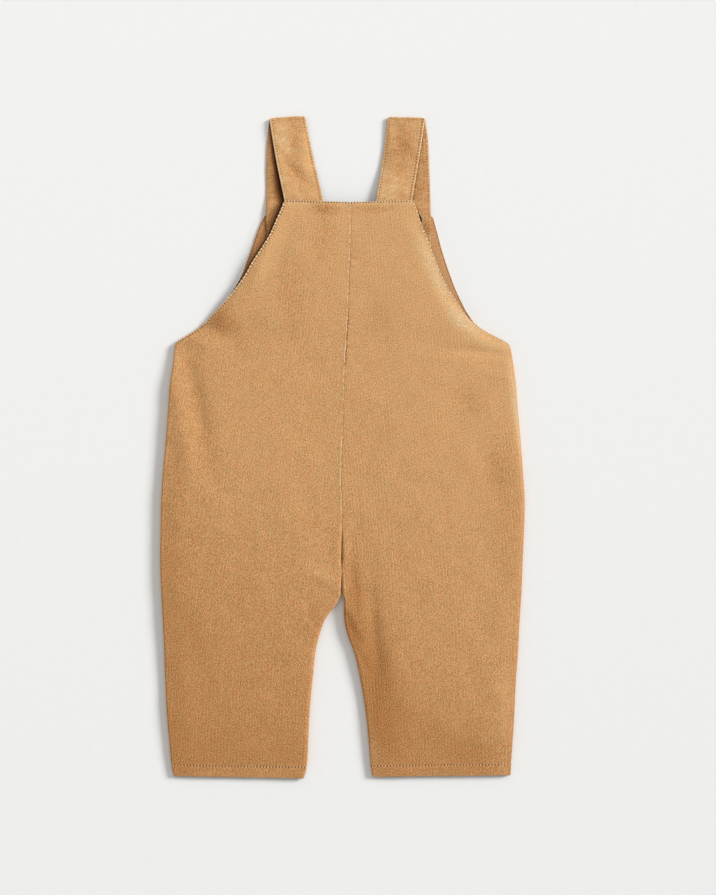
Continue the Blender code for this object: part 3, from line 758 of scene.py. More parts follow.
        # A side seam or inseam is drawn in a little where the two layers meet.
        valley = SEAM_VALLEY * bell(face - seam_level, SEAM_VALLEY_REACH) * (lean > SEAM_VALLEY_LEAN)
        outer = np.stack([x + inwards * valley, y, face], axis=-1)

        wall = WALL + (HEM_WALL - WALL) * ease(HEM_DEPTH + 0.6, HEM_DEPTH - 0.6, at.to_hem)
        inner = outer.copy()
        inner[..., 0] += wall * np.sin(lean) * inwards
        inner[..., 2] += wall * np.cos(lean) * (-1.0 if self.back else 1.0)
        if not self.back:
            soft = FRONT_WAVES * self.broad(x, y) + self.small(x, y) - FRONT_GROOVES * groove + swell
            inner[..., 2] += np.cos(lean) * soft

        # Free edges are round.
        full = 1 - free * (1 - rounded(np.abs(at.inset), EDGE_ROUND))
        full = (full * rounded(at.to_top, EDGE_ROUND) * rounded(at.to_hem, HEM_ROUND))[..., None]
        centre = (outer + inner) / 2
        outer = centre + (outer - centre) * full
        inner = centre + (inner - centre) * full
        sewing = np.stack([run, offset, rim], axis=-1)
        return Faces(outer, inner, sewing, np.stack([worn, holes], axis=-1))

    def grid(self):
        """Places x, y of the fine mesh, in rows from top to hem and columns from seam to edge."""
        rows = graded_places(self.top.inner, self.hem.inner, self.kind.rows)[:, None]
        y_out = rows + np.interp(
            rows,
            [self.hem.inner, self.hem.inner + HEM_SLANT, self.top.inner - TOP_SLANT, self.top.inner],
            [self.hem.outer - self.hem.inner, 0, 0, self.top.outer - self.top.inner],
        )
        x_in = self.middle_x(rows)
        x_out = self.edge_x(y_out)
        width = np.abs(x_out - x_in)
        near = self.curl(rows) * np.array(SEAM_SHARES)
        slant = np.gradient(x_out[:, 0], y_out[:, 0])
        stretch = np.clip(np.hypot(1.0, slant), 1.0, EDGE_STRETCH)[:, None]
        far = width - np.array(EDGE_BANDS)[::-1] * stretch
        shares = np.linspace(0, 1, self.kind.middle + 2)[1:-1]
        middle = near[:, -1:] + (far[:, :1] - near[:, -1:]) * shares
        distance = np.hstack([near, middle, far])
        return x_in + self.outward * distance, rows + (y_out - rows) * distance / width

    def grain_and_painted_light(self, x, y):
        """Place on the flat cloth, across the ribs and along them, and how deep the pile's colour is, with
        painted light and shade in it.
        """
        levels = np.arange(-260.0, 200.0, 1.0)  # every millimetre up the panels
        lean = np.radians(straight_curve(GRAIN_LEAN, self.side)(levels))
        across = x + self.outward * np.interp(y, levels, np.cumsum(np.tan(lean)))
        return np.stack([across, y, pile_and_painted_light(x, y, NAP_SEED[self.side])], axis=-1)

    def painted_ditch_shade(self, x, y):
        """Painted shade of the centre seam's ditch, in a broken line of small pulls, and of the right
        side's edge.
        """
        if not (self.back and self.side == "right"):
            return np.zeros_like(x)
        pulls = 0.62 + 0.38 * ripple(y, DITCH_PITCH)
        broken = np.clip(0.75 + sewing_breaks(0 * y + 40.0, y), 0.0, 1.0)
        line = bell(np.abs(x - self.middle_x(y)) - DITCH_INSET, DITCH_WIDTH)
        edge = bell(self.side_x(y) - x, SIDE_SHADE_REACH)
        return painted_seam_shade_share(y) * pulls * broken * line + PAINTED_SIDE_SHADE * edge

    def painted_shade(self, x, y):
        """Painted shade of the inner face, where it lies between the layers."""
        if self.back:
            return np.ones_like(x)
        return np.where(y > UNDERARM_Y, painted_shade_under(self.side, x, y), 1.0)


def grid_quads(numbers):
    """Quads between neighbouring rows and columns of a grid of point numbers."""
    above, below = numbers[:-1], numbers[1:]
    return np.stack([above[:, :-1], above[:, 1:], below[:, 1:], below[:, :-1]], -1).reshape(-1, 4)


def ring_numbers(count, sides):
    """Point numbers of rings, each closed by its first point."""
    numbers = np.arange(count * sides).reshape(count, sides)
    return np.hstack([numbers, numbers[:, :1]])


def closed_sheet(outer, inner):
    """Points, quads and material numbers of a closed sheet between two grids of points."""
    first = np.arange(outer[..., 0].size).reshape(outer.shape[:2])
    ring = np.concatenate([first[0, ::-1], first[1:, 0], first[-1, 1:], first[-2::-1, -1]])
    walls = np.stack([ring, ring + first.size])
    quads = [grid_quads(first), grid_quads(first + first.size)[:, [0, 3, 2, 1]], grid_quads(walls)]
    numbers = np.concatenate([np.full(len(part), number) for part, number in zip(quads, (0, 1, 0))])
    points = np.concatenate([outer.reshape(-1, 3), inner.reshape(-1, 3)])
    return points, np.concatenate(quads), numbers


def add_object(name, data):
    obj = bpy.data.objects.new(name, data)
    bpy.context.scene.collection.objects.link(obj)
    return obj


def make_object(name, points, quads, materials, numbers=None, fields=None):
    """A smooth-shaded mesh object with its faces pointing out. points are in millimetres."""
    a, b, c, d = (points[quads[:, k]] for k in range(4))
    volume = (np.cross(a, b) * c).sum() + (np.cross(a, c) * d).sum()
    if volume < 0:
        quads = quads[:, ::-1]
    data = bpy.data.meshes.new(name)
    data.from_pydata((points * MM).tolist(), [], quads.tolist())
    for material in materials:
        data.materials.append(material)
    if numbers is not None:
        data.polygons.foreach_set("material_index", numbers.astype(np.int32))
    for field, values in (fields or {}).items():
        attribute = data.attributes.new(field, "FLOAT_VECTOR", "POINT")
        attribute.data.foreach_set("vector", values.astype(np.float32).ravel())
    data.shade_smooth()
    data.set_sharp_from_angle(angle=math.radians(SHARP_DEGREES))
    data.update()
    return add_object(name, data)


def make_panel(panel, cloth, reverse):
    x, y = panel.grid()
    faces = panel.faces(x, y)
    points, quads, numbers = closed_sheet(faces.outer, faces.inner)
    grain_and_painted_light = panel.grain_and_painted_light(x, y).reshape(-1, 3)
    under = grain_and_painted_light + [0.0, 0.0, REVERSE_TONE_AND_BOUNCE[panel.side]]
    # Painted shade: on the outer face that of the seam's ditch and the right side, on the inner face that
    # between the layers
    painted_shade_and_wear = np.zeros((2, x.size, 3))
    painted_shade_and_wear[0, :, 0] = panel.painted_ditch_shade(x, y).ravel()
    painted_shade_and_wear[1, :, 0] = panel.painted_shade(x, y).ravel()
    painted_shade_and_wear[:, :, 1:] = faces.trim.reshape(-1, 2)
    fields = {
        "grain_and_painted_light": np.concatenate([grain_and_painted_light, under]),
        "sewing": np.tile(faces.sewing.reshape(-1, 3), (2, 1)),
        "painted_shade_and_wear": painted_shade_and_wear.reshape(-1, 3),
    }
    name = f"{panel.layer}_panel_{panel.side}"
    obj = make_object(name, points, quads, [cloth, reverse], numbers, fields)
    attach(obj, "root")
    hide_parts(f"{panel.layer}_{panel.side}")
    return obj


# ---- Stitches ----

STITCH_SIDES = 6
STITCH_RINGS = 7
STITCH_SPAN = (0.16, 0.84)  # shares of the way from hole to hole between which the thread shows
STITCH_SKEW = 0.05
THREAD_TIP = 0.03
END_MARGIN = 0.8  # between a panel's seam or edge and the nearest stitch across it
ARMHOLE_MARGIN = 1.5
STRAP_MARGIN = 1.0
PANEL_STITCH_SEED = 300
STRAP_STITCH_SEED = 400


def unit(vectors):
    return vectors / np.linalg.norm(vectors, axis=-1, keepdims=True)


def stitch_run(holes, up, draw):
    """Thread from hole to hole: points in rings, one short bowed capsule for each stitch."""
    start, end = holes[:-1], holes[1:]
    up = unit((up[:-1] + up[1:]) / 2)
    length = np.linalg.norm(end - start, axis=1, keepdims=True)
    forward = (end - start) / length
    sideways = unit(np.cross(up, forward))
    skew = draw.normal(0.0, STITCH_SKEW, (len(start), 1))
    t = np.linspace(*STITCH_SPAN, STITCH_RINGS)[:, None]
    bow = np.sin(math.pi * t) ** 0.6
    lift = THREAD_RADIUS * (1.5 * bow - 0.7)
    radius = THREAD_RADIUS * np.clip(0.35 + 1.1 * np.sin(math.pi * t), 0.0, 1.0)
    radius[0] = radius[-1] = THREAD_TIP
    centre = (
        start[:, None]
        + forward[:, None] * (length[:, None] * t)
        + up[:, None] * lift
        + sideways[:, None] * (skew[:, None] * (t - 0.5) * 2)
    )
    angle = np.arange(STITCH_SIDES)[:, None] * 2 * math.pi / STITCH_SIDES
    around = sideways[:, None, None] * np.cos(angle) + up[:, None, None] * np.sin(angle)
    return centre[:, :, None] + around * radius[:, None]


def stitch_quads(count):
    """Quads of count stitches whose points come in rings, with two quads to close each end."""
    rings = ring_numbers(STITCH_RINGS, STITCH_SIDES)
    first_cap = rings[0][np.array([[0, 5, 4, 3], [0, 3, 2, 1]])]
    last_cap = rings[-1][np.array([[0, 1, 2, 3], [0, 3, 4, 5]])]
    one = np.concatenate([grid_quads(rings), first_cap, last_cap])
    starts = np.arange(count) * STITCH_SIDES * STITCH_RINGS
    return (one[None] + starts[:, None, None]).reshape(-1, 4)


def make_stitches(name, runs, seed, thread):
    """One joined mesh of all the stitches along several lines of (holes, up)."""
    draw = np.random.default_rng(seed)
    stitches = np.concatenate([stitch_run(holes, up, draw) for holes, up in runs])
    obj = make_object(name, stitches.reshape(-1, 3), stitch_quads(len(stitches)), [thread])
    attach(obj, "root")
    return obj


def holes_between(start, end, pitch):
    """Places at whole pitches between two ends, as the needle holes' colour has them."""
    low, high = sorted((float(start), float(end)))
    return np.arange(math.ceil(low / pitch), math.floor(high / pitch) + 1) * pitch


def panel_run(panel, x, y, inner=False, spread=0.4):
    """Holes over a line of places on a panel, and the direction away from its face there."""

    def face(x, y):
        faces = panel.faces(x, y)
        return faces.inner if inner else faces.outer

    east = face(x + spread, y) - face(x - spread, y)
    north = face(x, y + spread) - face(x, y - spread)
    up = unit(np.cross(east, north))
    away = 1.0 if panel.back != inner else -1.0
    return face(x, y), np.where(up[:, 2:] * away < 0, -up, up)


def panel_lines(panel):
    """Stitch holes of a panel's lines: armhole, bib top and hem."""
    line = panel.armhole
    last = line.along[line.points[:, 1] > ARMHOLE_END + 1.0][-1]
    at = holes_between(ARMHOLE_MARGIN, last, STITCH_PITCH)
    path = line.points + line.inward * ARMHOLE_INSET[panel.side]
    armhole = [np.interp(at, line.along, path[:, axis]) for axis in (0, 1)]

    margin = panel.outward * END_MARGIN
    x_in, x_out = panel.middle_x(panel.top.inner), panel.edge_x(panel.top.outer)
    top_x = holes_between(x_in + margin, x_out - 2 * margin, STITCH_PITCH)
    top = (top_x, between(panel.top, (top_x - x_in) / (x_out - x_in)) - TOP_INSET)

    x_in = panel.middle_x(panel.hem.inner + HEM_LINE)
    x_out = panel.edge_x(panel.hem.outer + HEM_LINE)
    hem_x = holes_between(x_in + margin, x_out - margin, HEM_PITCH)
    hem = (hem_x, between(panel.hem, (hem_x - x_in) / (x_out - x_in)) + HEM_LINE)
    return armhole, top, hem


def make_panel_stitches(panel, thread):
    armhole, top, hem = panel_lines(panel)
    runs = [panel_run(panel, *line) for line in (armhole, top, hem)]
    if not panel.back:
        runs += [panel_run(panel, *line, inner=True) for line in (armhole, top)]
        runs = [(np.maximum(holes, [-np.inf, -np.inf, THREAD_FLOOR]), up) for holes, up in runs]
    seed = PANEL_STITCH_SEED + 10 * panel.back + (panel.side == "left")
    return make_stitches(f"stitches_{panel.layer}_{panel.side}", runs, seed, thread)


# ---- Straps ----


class Strap:
    """A pressed double band, as sections along its length and a profile across it."""

    def __init__(self, side):
        self.side = side
        half = STRAP_THICKNESS / 2
        radius = (SHOULDER_GAP + STRAP_THICKNESS) / 2
        left, right, bend = self.stretch(STRAPS[side]["back"], half, 0.0)
        front_left, front_right, front_bend = self.stretch(STRAPS[side]["front"], half, math.pi)
        turns = np.linspace(0, math.pi, FOLD_STEPS)[1:-1]
        up_strap = np.cross([0.0, 0.0, 1.0], unit(right[-1] - left[-1]))
        fold = up_strap * (radius * np.sin(turns))[:, None]
        fold[:, 2] = half + radius + radius * np.cos(turns)
        flat = [1.0, 1.0, 0.0]
        self.left = np.concatenate([left, left[-1] * flat + fold, front_left])
        self.right = np.concatenate([right, right[-1] * flat + fold, front_right])
        self.bend = np.concatenate([bend, turns, front_bend])
        middle = (self.left + self.right) / 2
        steps = np.linalg.norm(np.diff(middle, axis=0), axis=1)
        self.along = np.concatenate([[0.0], np.cumsum(steps)])
        self.sag = straight_curve(STRAP_SAG, "drop")
        self.sag_reach = straight_curve(STRAP_SAG, "reach")
        seed = STRAP_SEED[side]
        self.broad = waves(seed, 14.0, 50.0, 0.07)
        self.small = waves(seed + 1, 4.5, 12.0, 0.035)

    @staticmethod
    def stretch(rows, half, bend):
        """Left and right points and bend at even steps along one layer."""
        middle = [(row.left_y + row.right_y) / 2 for row in rows]
        count = round(abs(middle[0] - middle[-1]) / STRAP_ROW_STEP)
        place = np.linspace(middle[0], middle[-1], count + 1)
        at = {name: smooth_curve(middle, *columns(rows, name))(place) for name in rows[0]._fields}
        left = np.column_stack([at["left_x"], at["left_y"], at["under"] + half])
        right = np.column_stack([at["right_x"], at["right_y"], at["under"] + half])
        return left, right, np.full(count + 1, bend)

    def surface(self, along, share, face):
        """Points on one face (1 outer, -1 inner) at distances along and shares across, and up."""
        left, right = (
            np.stack([np.interp(along, self.along, edge[:, axis]) for axis in range(3)], -1)
            for edge in (self.left, self.right)
        )
        bend = np.interp(along, self.along, self.bend)
        width = np.linalg.norm(right - left, axis=-1)
        across = (right - left) / width[..., None]
        up_strap = np.cross([0.0, 0.0, 1.0], across)
        normal = up_strap * np.sin(bend)[..., None]
        normal[..., 2] += np.cos(bend)
        edge = np.minimum(share, 1 - share) * width
        offset = edge - STRAP_INSET
        hole = pulse(along, STITCH_PITCH)
        bead = STRAP_BEAD * bell(edge - STRAP_BEAD_INSET, STRAP_BEAD_WIDTH) * (1.2 - hole)
        belly = STRAP_BELLY * ease(STRAP_INSET, STRAP_BELLY_INSET, edge)
        full = rounded(edge, np.where(bend > UNDER_FOLD, STRAP_FRONT_ROUND, STRAP_ROUND))
        thick = (STRAP_THICKNESS / 2 + bead + belly) * full - groove_depth(offset, hole)
        point = left + across * (share * width)[..., None]
        x, y = point[..., 0], point[..., 1]
        lifted = 0.5 + 0.5 * np.cos(bend)
        sway = crease_rise(STRAP_CREASES, x, y) + self.broad(x, y) + self.small(x, y)
        point = point + normal * (thick * face)[..., None]
        from_neck = (1 - share if self.side == "left" else share) * width
        sag = self.sag(y) * ease(self.sag_reach(y), 0.0, from_neck) * (bend < LYING)
        point[..., 2] = np.maximum(point[..., 2] + sway * lifted - sag, 0.0)
        # The fold's corners are soft.
        corner = FOLD_CORNER * (1 - np.clip(edge / FOLD_CORNER_REACH, 0, 1)) ** 2 * np.sin(bend)
        point = point - up_strap * corner[..., None]
        sewing = np.stack([along / STITCH_PITCH, offset, edge], axis=-1)
        return point, normal * face, sewing, share * width


def strap_shares():
    """Where the points of a section lie across the strap, closer at the stitching and edges."""
    near = np.array(STRAP_BANDS) / STRAP_WIDTH
    half = np.concatenate([near, np.linspace(near[-1], 0.5, STRAP_MIDDLE)[1:]])
    return np.concatenate([half, 1 - half[-2::-1]])


def make_strap(strap, cloth):
    along, share = np.broadcast_arrays(strap.along[:, None], strap_shares()[None])
    upper, _, sewing, across = strap.surface(along, share, 1.0)
    lower = strap.surface(along, share, -1.0)[0]
    points, quads, _ = closed_sheet(upper, lower)
    bend = np.interp(along, strap.along, strap.bend)
    x, y = upper[..., 0], upper[..., 1]
    behind = bend > PAST_FOLD
    depth = pile_and_painted_light(x, y, STRAP_NAP_SEED) + STRAP_FRONT_NAP * behind + strap_blotches(x, y)
    grain_and_painted_light = np.stack([across, along, depth], axis=-1).reshape(-1, 3)
    painted_shade_and_wear = np.zeros((2, x.size, 3))
    # Painted shade under the strap, and where its front half lies under the back half
    painted_underside = np.where(bend > ON_FRONT, painted_shade_under(strap.side, x, y), ease(0.0, 1.5, bend))
    painted_shade_and_wear[1, :, 0] = np.where(bend < LYING, 1.0, painted_underside).ravel()
    first, second = STRAP_TRIM[strap.side]
    for k in (0, 1):
        trim = np.where(behind, STRAP_FRONT_TRIM[k], np.where(share < 0.5, first[k], second[k]))
        painted_shade_and_wear[:, :, k + 1] = trim.ravel()
    fields = {
        "grain_and_painted_light": np.tile(grain_and_painted_light, (2, 1)),
        "sewing": np.tile(sewing.reshape(-1, 3), (2, 1)),
        "painted_shade_and_wear": painted_shade_and_wear.reshape(-1, 3),
    }
    obj = make_object(f"strap_band_{strap.side}", points, quads, [cloth], None, fields)
    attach(obj, "root")
    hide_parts(f"strap_{strap.side}")
    return obj


def make_strap_stitches(strap, thread):
    runs = []
    along = holes_between(STRAP_MARGIN, strap.along[-1] - STRAP_MARGIN, STITCH_PITCH)
    width = np.linalg.norm(strap.right[0] - strap.left[0])
    for share in (STRAP_INSET / width, 1 - STRAP_INSET / width):
        for face in (1.0, -1.0):
            holes, up, _, _ = strap.surface(along, np.full_like(along, share), face)
            holes[:, 2] = np.maximum(holes[:, 2], THREAD_FLOOR)
            runs.append((holes, up))
    seed = STRAP_STITCH_SEED + (strap.side == "left")
    return make_stitches(f"stitches_strap_{strap.side}", runs, seed, thread)


# ---- Studs ----

STUD_SIDES = 72
STUD_PROFILE = table(
    "radius height",
    (0.02, 1.42), (1.2, 1.42), (2.6, 1.4), (3.8, 1.36), (4.3, 1.34), (4.6, 1.42), (4.9, 1.55), (5.2, 1.6),
    (5.5, 1.52), (5.75, 1.34), (5.92, 1.08), (6, 0.78), (6, 0.5), (5.92, 0.24), (5.7, 0.06), (5.4, 0),
    (3, 0), (0.02, 0),
)  # fmt: skip


def make_stud(side, enamel):
    """A cap with a rolled rim round its flat top."""
    angle = np.arange(STUD_SIDES) * 2 * math.pi / STUD_SIDES
    radius, height = np.array(columns(STUD_PROFILE, "radius", "height"))[..., None]
    x = STRAPS[side]["stud_x"] + radius * np.cos(angle)
    y = STUD_Y + radius * np.sin(angle)
    points = np.stack([x, y, STUD_LIFT + height + 0 * angle], -1).reshape(-1, 3)
    quads = grid_quads(ring_numbers(len(STUD_PROFILE), STUD_SIDES))
    obj = make_object(f"stud_cap_{side}", points, quads, [enamel])
    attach(obj, "root")
    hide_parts(f"stud_{side}")


# ---- Materials ----

PALE = (0.606, 0.346, 0.153, 1.0)
DEEP = (0.408, 0.186, 0.064, 1.0)
# painted sheen, pale and creamy
PAINTED_SHEEN_CREAM = (0.590, 0.425, 0.248, 1.0)
# wear and painted highlight on rims
WORN_AND_HIGHLIGHT = (0.99, 0.82, 0.56, 1.0)
SPECK = (0.370, 0.330, 0.220, 1.0)
WARMER = (0.170, -0.058, -0.085, 1.0)
PILE_SHEEN = (0.95, 0.78, 0.56, 1.0)
REVERSE_PALE = (0.575, 0.305, 0.137, 1.0)
REVERSE_DEEP = (0.400, 0.186, 0.064, 1.0)
# painted shade on the reverse's rolled rim
REVERSE_RIM_SHADE = (0.30, 0.12, 0.035, 1.0)
# painted warm bounce light, multiplied in
PAINTED_BOUNCE_LIGHT = (1.22, 1.03, 0.88, 1.0)
# painted shade of needle holes and of the pressed line
HOLE_SHADE = (0.150, 0.052, 0.012, 1.0)
# painted highlight on the swells between holes
PAINTED_SWELL_HIGHLIGHT = (0.85, 0.60, 0.34, 1.0)
# painted shade between layers, warm at first and then deep
PAINTED_SHADE_WARM = (0.225, 0.064, 0.015, 1.0)
PAINTED_SHADE_DEEP = (0.030, 0.010, 0.003, 1.0)
THREAD_PALE = (0.62, 0.40, 0.21, 1.0)
THREAD_DEEP = (0.50, 0.30, 0.14, 1.0)
ENAMEL_DEEP = (0.003, 0.003, 0.006, 1.0)
ENAMEL_PALE = (0.008, 0.009, 0.016, 1.0)
FLOOR_COLOUR = (0.800, 0.798, 0.790, 1.0)
FLOOR_SHADE = (0.790, 0.788, 0.780, 1.0)

RIB_PITCH = 1.25
WEAVE_PITCH = 0.5
SPECK_SCALE = (1.32, 0.95)
SPECK_SHIFTS = ((0.8, 0.0, 0.0), (-0.8, 0.0, 0.0), (0.0, 0.85, 0.0), (0.0, -0.85, 0.0))


class Nodes:
    """Short calls for building one material's nodes."""

    def __init__(self, name):
        self.material = bpy.data.materials.new(name)
        self.material.use_nodes = True
        self.tree = self.material.node_tree

    def add(self, kind, **settings):
        node = self.tree.nodes.new(kind)
        for key, value in settings.items():
            setattr(node, key, value)
        return node

    def fill(self, node, values):
        """Links inputs of a node, by name or number, to outputs, or sets them to numbers or colours."""
        for key, value in values.items():
            if isinstance(value, bpy.types.NodeSocket):
                self.tree.links.new(value, node.inputs[key])
            else:
                node.inputs[key].default_value = value

    def maths(self, operation, *values):
        node = self.add("ShaderNodeMath", operation=operation)
        self.fill(node, dict(enumerate(values)))
        return node.outputs[0]

    def times(self, first, second, plus=None):
        if plus is None:
            return self.maths("MULTIPLY", first, second)
        return self.maths("MULTIPLY_ADD", first, second, plus)

    def minus(self, first, second):
        return self.maths("SUBTRACT", first, second)

    def wave(self, place, pitch, operation="COSINE"):
        return self.maths(operation, self.times(place, 2 * math.pi / pitch))

    def field(self, name):
        """A vector field of the mesh, as its three numbers and itself."""
        vector = self.add("ShaderNodeAttribute", attribute_name=name).outputs["Vector"]
        split = self.add("ShaderNodeSeparateXYZ")
        self.fill(split, {0: vector})
        return (*split.outputs, vector)

    def noise(self, vector, scale, detail, roughness=0.5):
        node = self.add("ShaderNodeTexNoise")
        self.fill(node, {"Vector": vector, "Scale": scale, "Detail": detail, "Roughness": roughness})
        return node.outputs["Fac"]

    def solid_noise(self, scale, detail, roughness=0.5):
        return self.noise(self.add("ShaderNodeTexCoord").outputs["Object"], scale, detail, roughness)

    def cloth_noise(self, flat, scale, detail, roughness=0.5):
        """Noise over the cloth, with a scale per millimetre across it and along it."""
        node = self.add("ShaderNodeMapping")
        self.fill(node, {"Vector": flat, "Scale": (*scale, 1.0)})
        return self.noise(node.outputs[0], 1.0, detail, roughness)

    def specks(self, flat, shift=(0.0, 0.0, 0.0)):
        """Smooth fine noise over the cloth, seen at a shift from this place."""
        moved = self.add("ShaderNodeVectorMath", operation="ADD")
        self.fill(moved, {0: flat, 1: shift})
        return self.cloth_noise(moved.outputs[0], SPECK_SCALE, 0.0)

    def sway(self, noise, weight, plus):
        """plus, moved up or down by a noise that runs round 0.5."""
        return self.times(self.minus(noise, 0.5), weight, plus)

    def ramp(self, value, low, high, start=0.0, end=1.0):
        node = self.add("ShaderNodeMapRange", interpolation_type="SMOOTHSTEP")
        limits = {"From Min": low, "From Max": high, "To Min": start, "To Max": end}
        self.fill(node, {"Value": value, **limits})
        return node.outputs["Result"]

    def mix(self, factor, first, second, blend="MIX", clamp=True):
        node = self.add("ShaderNodeMix", data_type="RGBA", blend_type=blend, clamp_factor=clamp)
        self.fill(node, {"Factor": factor, 6: first, 7: second})
        return node.outputs[2]

    def bump(self, height, distance):
        node = self.add("ShaderNodeBump")
        self.fill(node, {"Height": height, "Distance": distance})
        return node.outputs["Normal"]

    def finished(self, **inputs):
        """The material, with its shader's inputs by their names with _ for spaces."""
        names = {key.replace("_", " "): value for key, value in inputs.items()}
        self.fill(self.tree.nodes["Principled BSDF"], names)
        return self.material


def sewn(n, colour, offset, run, strength):
    """Colour with needle holes and the pressed line of cloth painted darker as shade, and painted
    highlights on its small swells between the holes.
    """
    close = n.ramp(n.maths("ABSOLUTE", offset), 0.8, 0.35)
    wave = n.wave(run, 1.0)
    pressed = n.times(close, strength)
    swell_highlights = n.times(pressed, n.ramp(wave, -0.1, -0.7, 0.0, 0.35))
    holes = n.times(pressed, n.ramp(wave, 0.0, 0.7))
    colour = n.mix(n.times(close, 0.07), colour, HOLE_SHADE)
    colour = n.mix(swell_highlights, colour, PAINTED_SWELL_HIGHLIGHT)
    return n.mix(holes, colour, HOLE_SHADE)


def with_painted_shade(n, colour, painted_shade):
    """Painted shade where one layer shades another: warm at first, then nearly black."""
    colour = n.mix(n.ramp(painted_shade, 0.0, 0.6, 0.0, 0.85), colour, PAINTED_SHADE_WARM)
    return n.mix(n.ramp(painted_shade, 0.35, 1.0, 0.0, 0.95), colour, PAINTED_SHADE_DEEP)


def corduroy_material():
    """Needlecord: fine ribs of cut pile, mottled where the pile lies over."""
    n = Nodes("corduroy")
    across, _, depth, flat = n.field("grain_and_painted_light")
    run, offset, rim, _ = n.field("sewing")
    painted_shade, worn, holes, _ = n.field("painted_shade_and_wear")

    # Pile: tufts lean one way or another, and show more or less of their deep roots. The depth they start
    # from carries painted light and shade.
    lean = n.sway(n.cloth_noise(flat, (0.55, 0.48), 1.0, 0.6), 0.12, depth)
    lean = n.sway(n.cloth_noise(flat, (0.34, 0.22), 3.0, 0.6), 0.10, lean)
    lean = n.sway(n.cloth_noise(flat, (0.85, 0.07), 1.0), 0.30, lean)

    # Ribs, with the valleys between them, and every second rib lighter where the pile lies flat
    phase = n.times(across, 2 * math.pi / RIB_PITCH)
    rib = n.times(n.maths("COSINE", phase), 0.5, 0.5)
    second = n.maths("COSINE", n.times(phase, 0.5))
    lean = n.times(n.ramp(rib, 0.34, 0.0), 0.22, lean)
    lying = n.cloth_noise(flat, (0.06, 0.03), 1.0)
    lean = n.times(second, n.ramp(lying, 0.45, 0.65, -0.03, -0.13), lean)
    colour = n.mix(lean, PALE, DEEP, clamp=False)
    # Painted sheen: pale and creamy where the depth lies below 0
    colour = n.mix(n.ramp(depth, -0.02, -0.42, 0.0, 0.55), colour, PAINTED_SHEEN_CREAM)

    # Specks of light on single tufts, and patches that are a little warmer or cooler
    specks = n.specks(flat)
    around = 0.0
    for shift in SPECK_SHIFTS:
        around = n.times(n.specks(flat, shift), 0.10, around)
    speck = n.minus(specks, around)
    colour = n.mix(n.minus(speck, 0.30), colour, SPECK, "ADD", clamp=False)
    tint = n.cloth_noise(flat, (0.30, 0.26), 2.0, 0.6)
    colour = n.mix(n.minus(tint, 0.5), colour, WARMER, "ADD", clamp=False)

    # Sewing with its painted shade and highlights, a rim that is worn and painted lighter as a highlight,
    # and painted shade between layers
    rubbed_and_lit = n.times(n.ramp(rim, 1.2, 0.75), worn)
    colour = n.mix(n.times(rubbed_and_lit, 0.85), colour, WORN_AND_HIGHLIGHT)
    colour = with_painted_shade(n, sewn(n, colour, offset, run, holes), painted_shade)

    # Relief of ribs and pile
    fuzz = n.cloth_noise(flat, (3.2, 1.8), 2.0, 0.6)
    relief = n.times(specks, 0.3, n.times(rib, 0.3, n.times(fuzz, 0.1)))
    return n.finished(
        Base_Color=colour, Normal=n.bump(relief, 0.00012), Roughness=0.92, Specular_IOR_Level=0.12,
        Sheen_Weight=0.12, Sheen_Roughness=0.5, Sheen_Tint=PILE_SHEEN,
    )  # fmt: skip


def reverse_material():
    """The cloth's plain side, which faces the wearer: a flat weave, redder than the pile."""
    n = Nodes("corduroy_reverse")
    across, along, depth, flat = n.field("grain_and_painted_light")
    run, offset, rim, _ = n.field("sewing")
    painted_shade, _, holes, _ = n.field("painted_shade_and_wear")
    weave = n.specks(flat)
    lean = n.sway(weave, 2.0, depth)
    lean = n.sway(n.cloth_noise(flat, (0.35, 0.2), 3.0, 0.6), 0.9, lean)
    colour = n.mix(n.maths("MAXIMUM", lean, -0.6), REVERSE_PALE, REVERSE_DEEP, clamp=False)
    # Painted warm bounce light where the depth lies below 0
    colour = n.mix(n.ramp(depth, 0.0, -0.3), colour, PAINTED_BOUNCE_LIGHT, "MULTIPLY")
    colour = sewn(n, colour, offset, run, n.times(holes, 0.7))
    # Painted shade on the rolled rim
    colour = n.mix(n.ramp(rim, 1.3, 0.3, 0.0, 0.75), colour, REVERSE_RIM_SHADE)
    warp = n.wave(across, WEAVE_PITCH, "SINE")
    weft = n.wave(along, WEAVE_PITCH, "SINE")
    relief = n.times(n.times(warp, weft), 0.3, weave)
    return n.finished(
        Base_Color=with_painted_shade(n, colour, painted_shade), Normal=n.bump(relief, 0.00010), Roughness=0.88,
        Specular_IOR_Level=0.15, Sheen_Weight=0.08, Sheen_Roughness=0.5,
    )  # fmt: skip


def thread_material():
    n = Nodes("thread")
    colour = n.mix(n.solid_noise(900.0, 2.0), THREAD_PALE, THREAD_DEEP)
    relief = n.bump(n.solid_noise(3500.0, 1.0), 0.00005)
    return n.finished(Base_Color=colour, Normal=relief, Roughness=0.62, Sheen_Weight=0.1)


def enamel_material():
    n = Nodes("stud_enamel")
    shade = n.solid_noise(420.0, 3.0, 0.6)
    colour = n.mix(n.ramp(shade, 0.35, 0.7), ENAMEL_DEEP, ENAMEL_PALE)
    relief = n.bump(n.solid_noise(1500.0, 2.0), 0.00002)
    roughness = n.ramp(shade, 0.3, 0.7, 0.45, 0.6)
    return n.finished(Base_Color=colour, Normal=relief, Roughness=roughness, Specular_IOR_Level=0.10)


def floor_material():
    n = Nodes("floor_paper")
    colour = n.mix(n.ramp(n.solid_noise(160.0, 4.0, 0.6), 0.3, 0.7), FLOOR_COLOUR, FLOOR_SHADE)
    return n.finished(Base_Color=colour, Roughness=0.95, Specular_IOR_Level=0.0)


# ---- Floor, light and camera, in metres ----

FLOOR_SIZE = 4.0
FLOOR_LEVEL = -0.0002

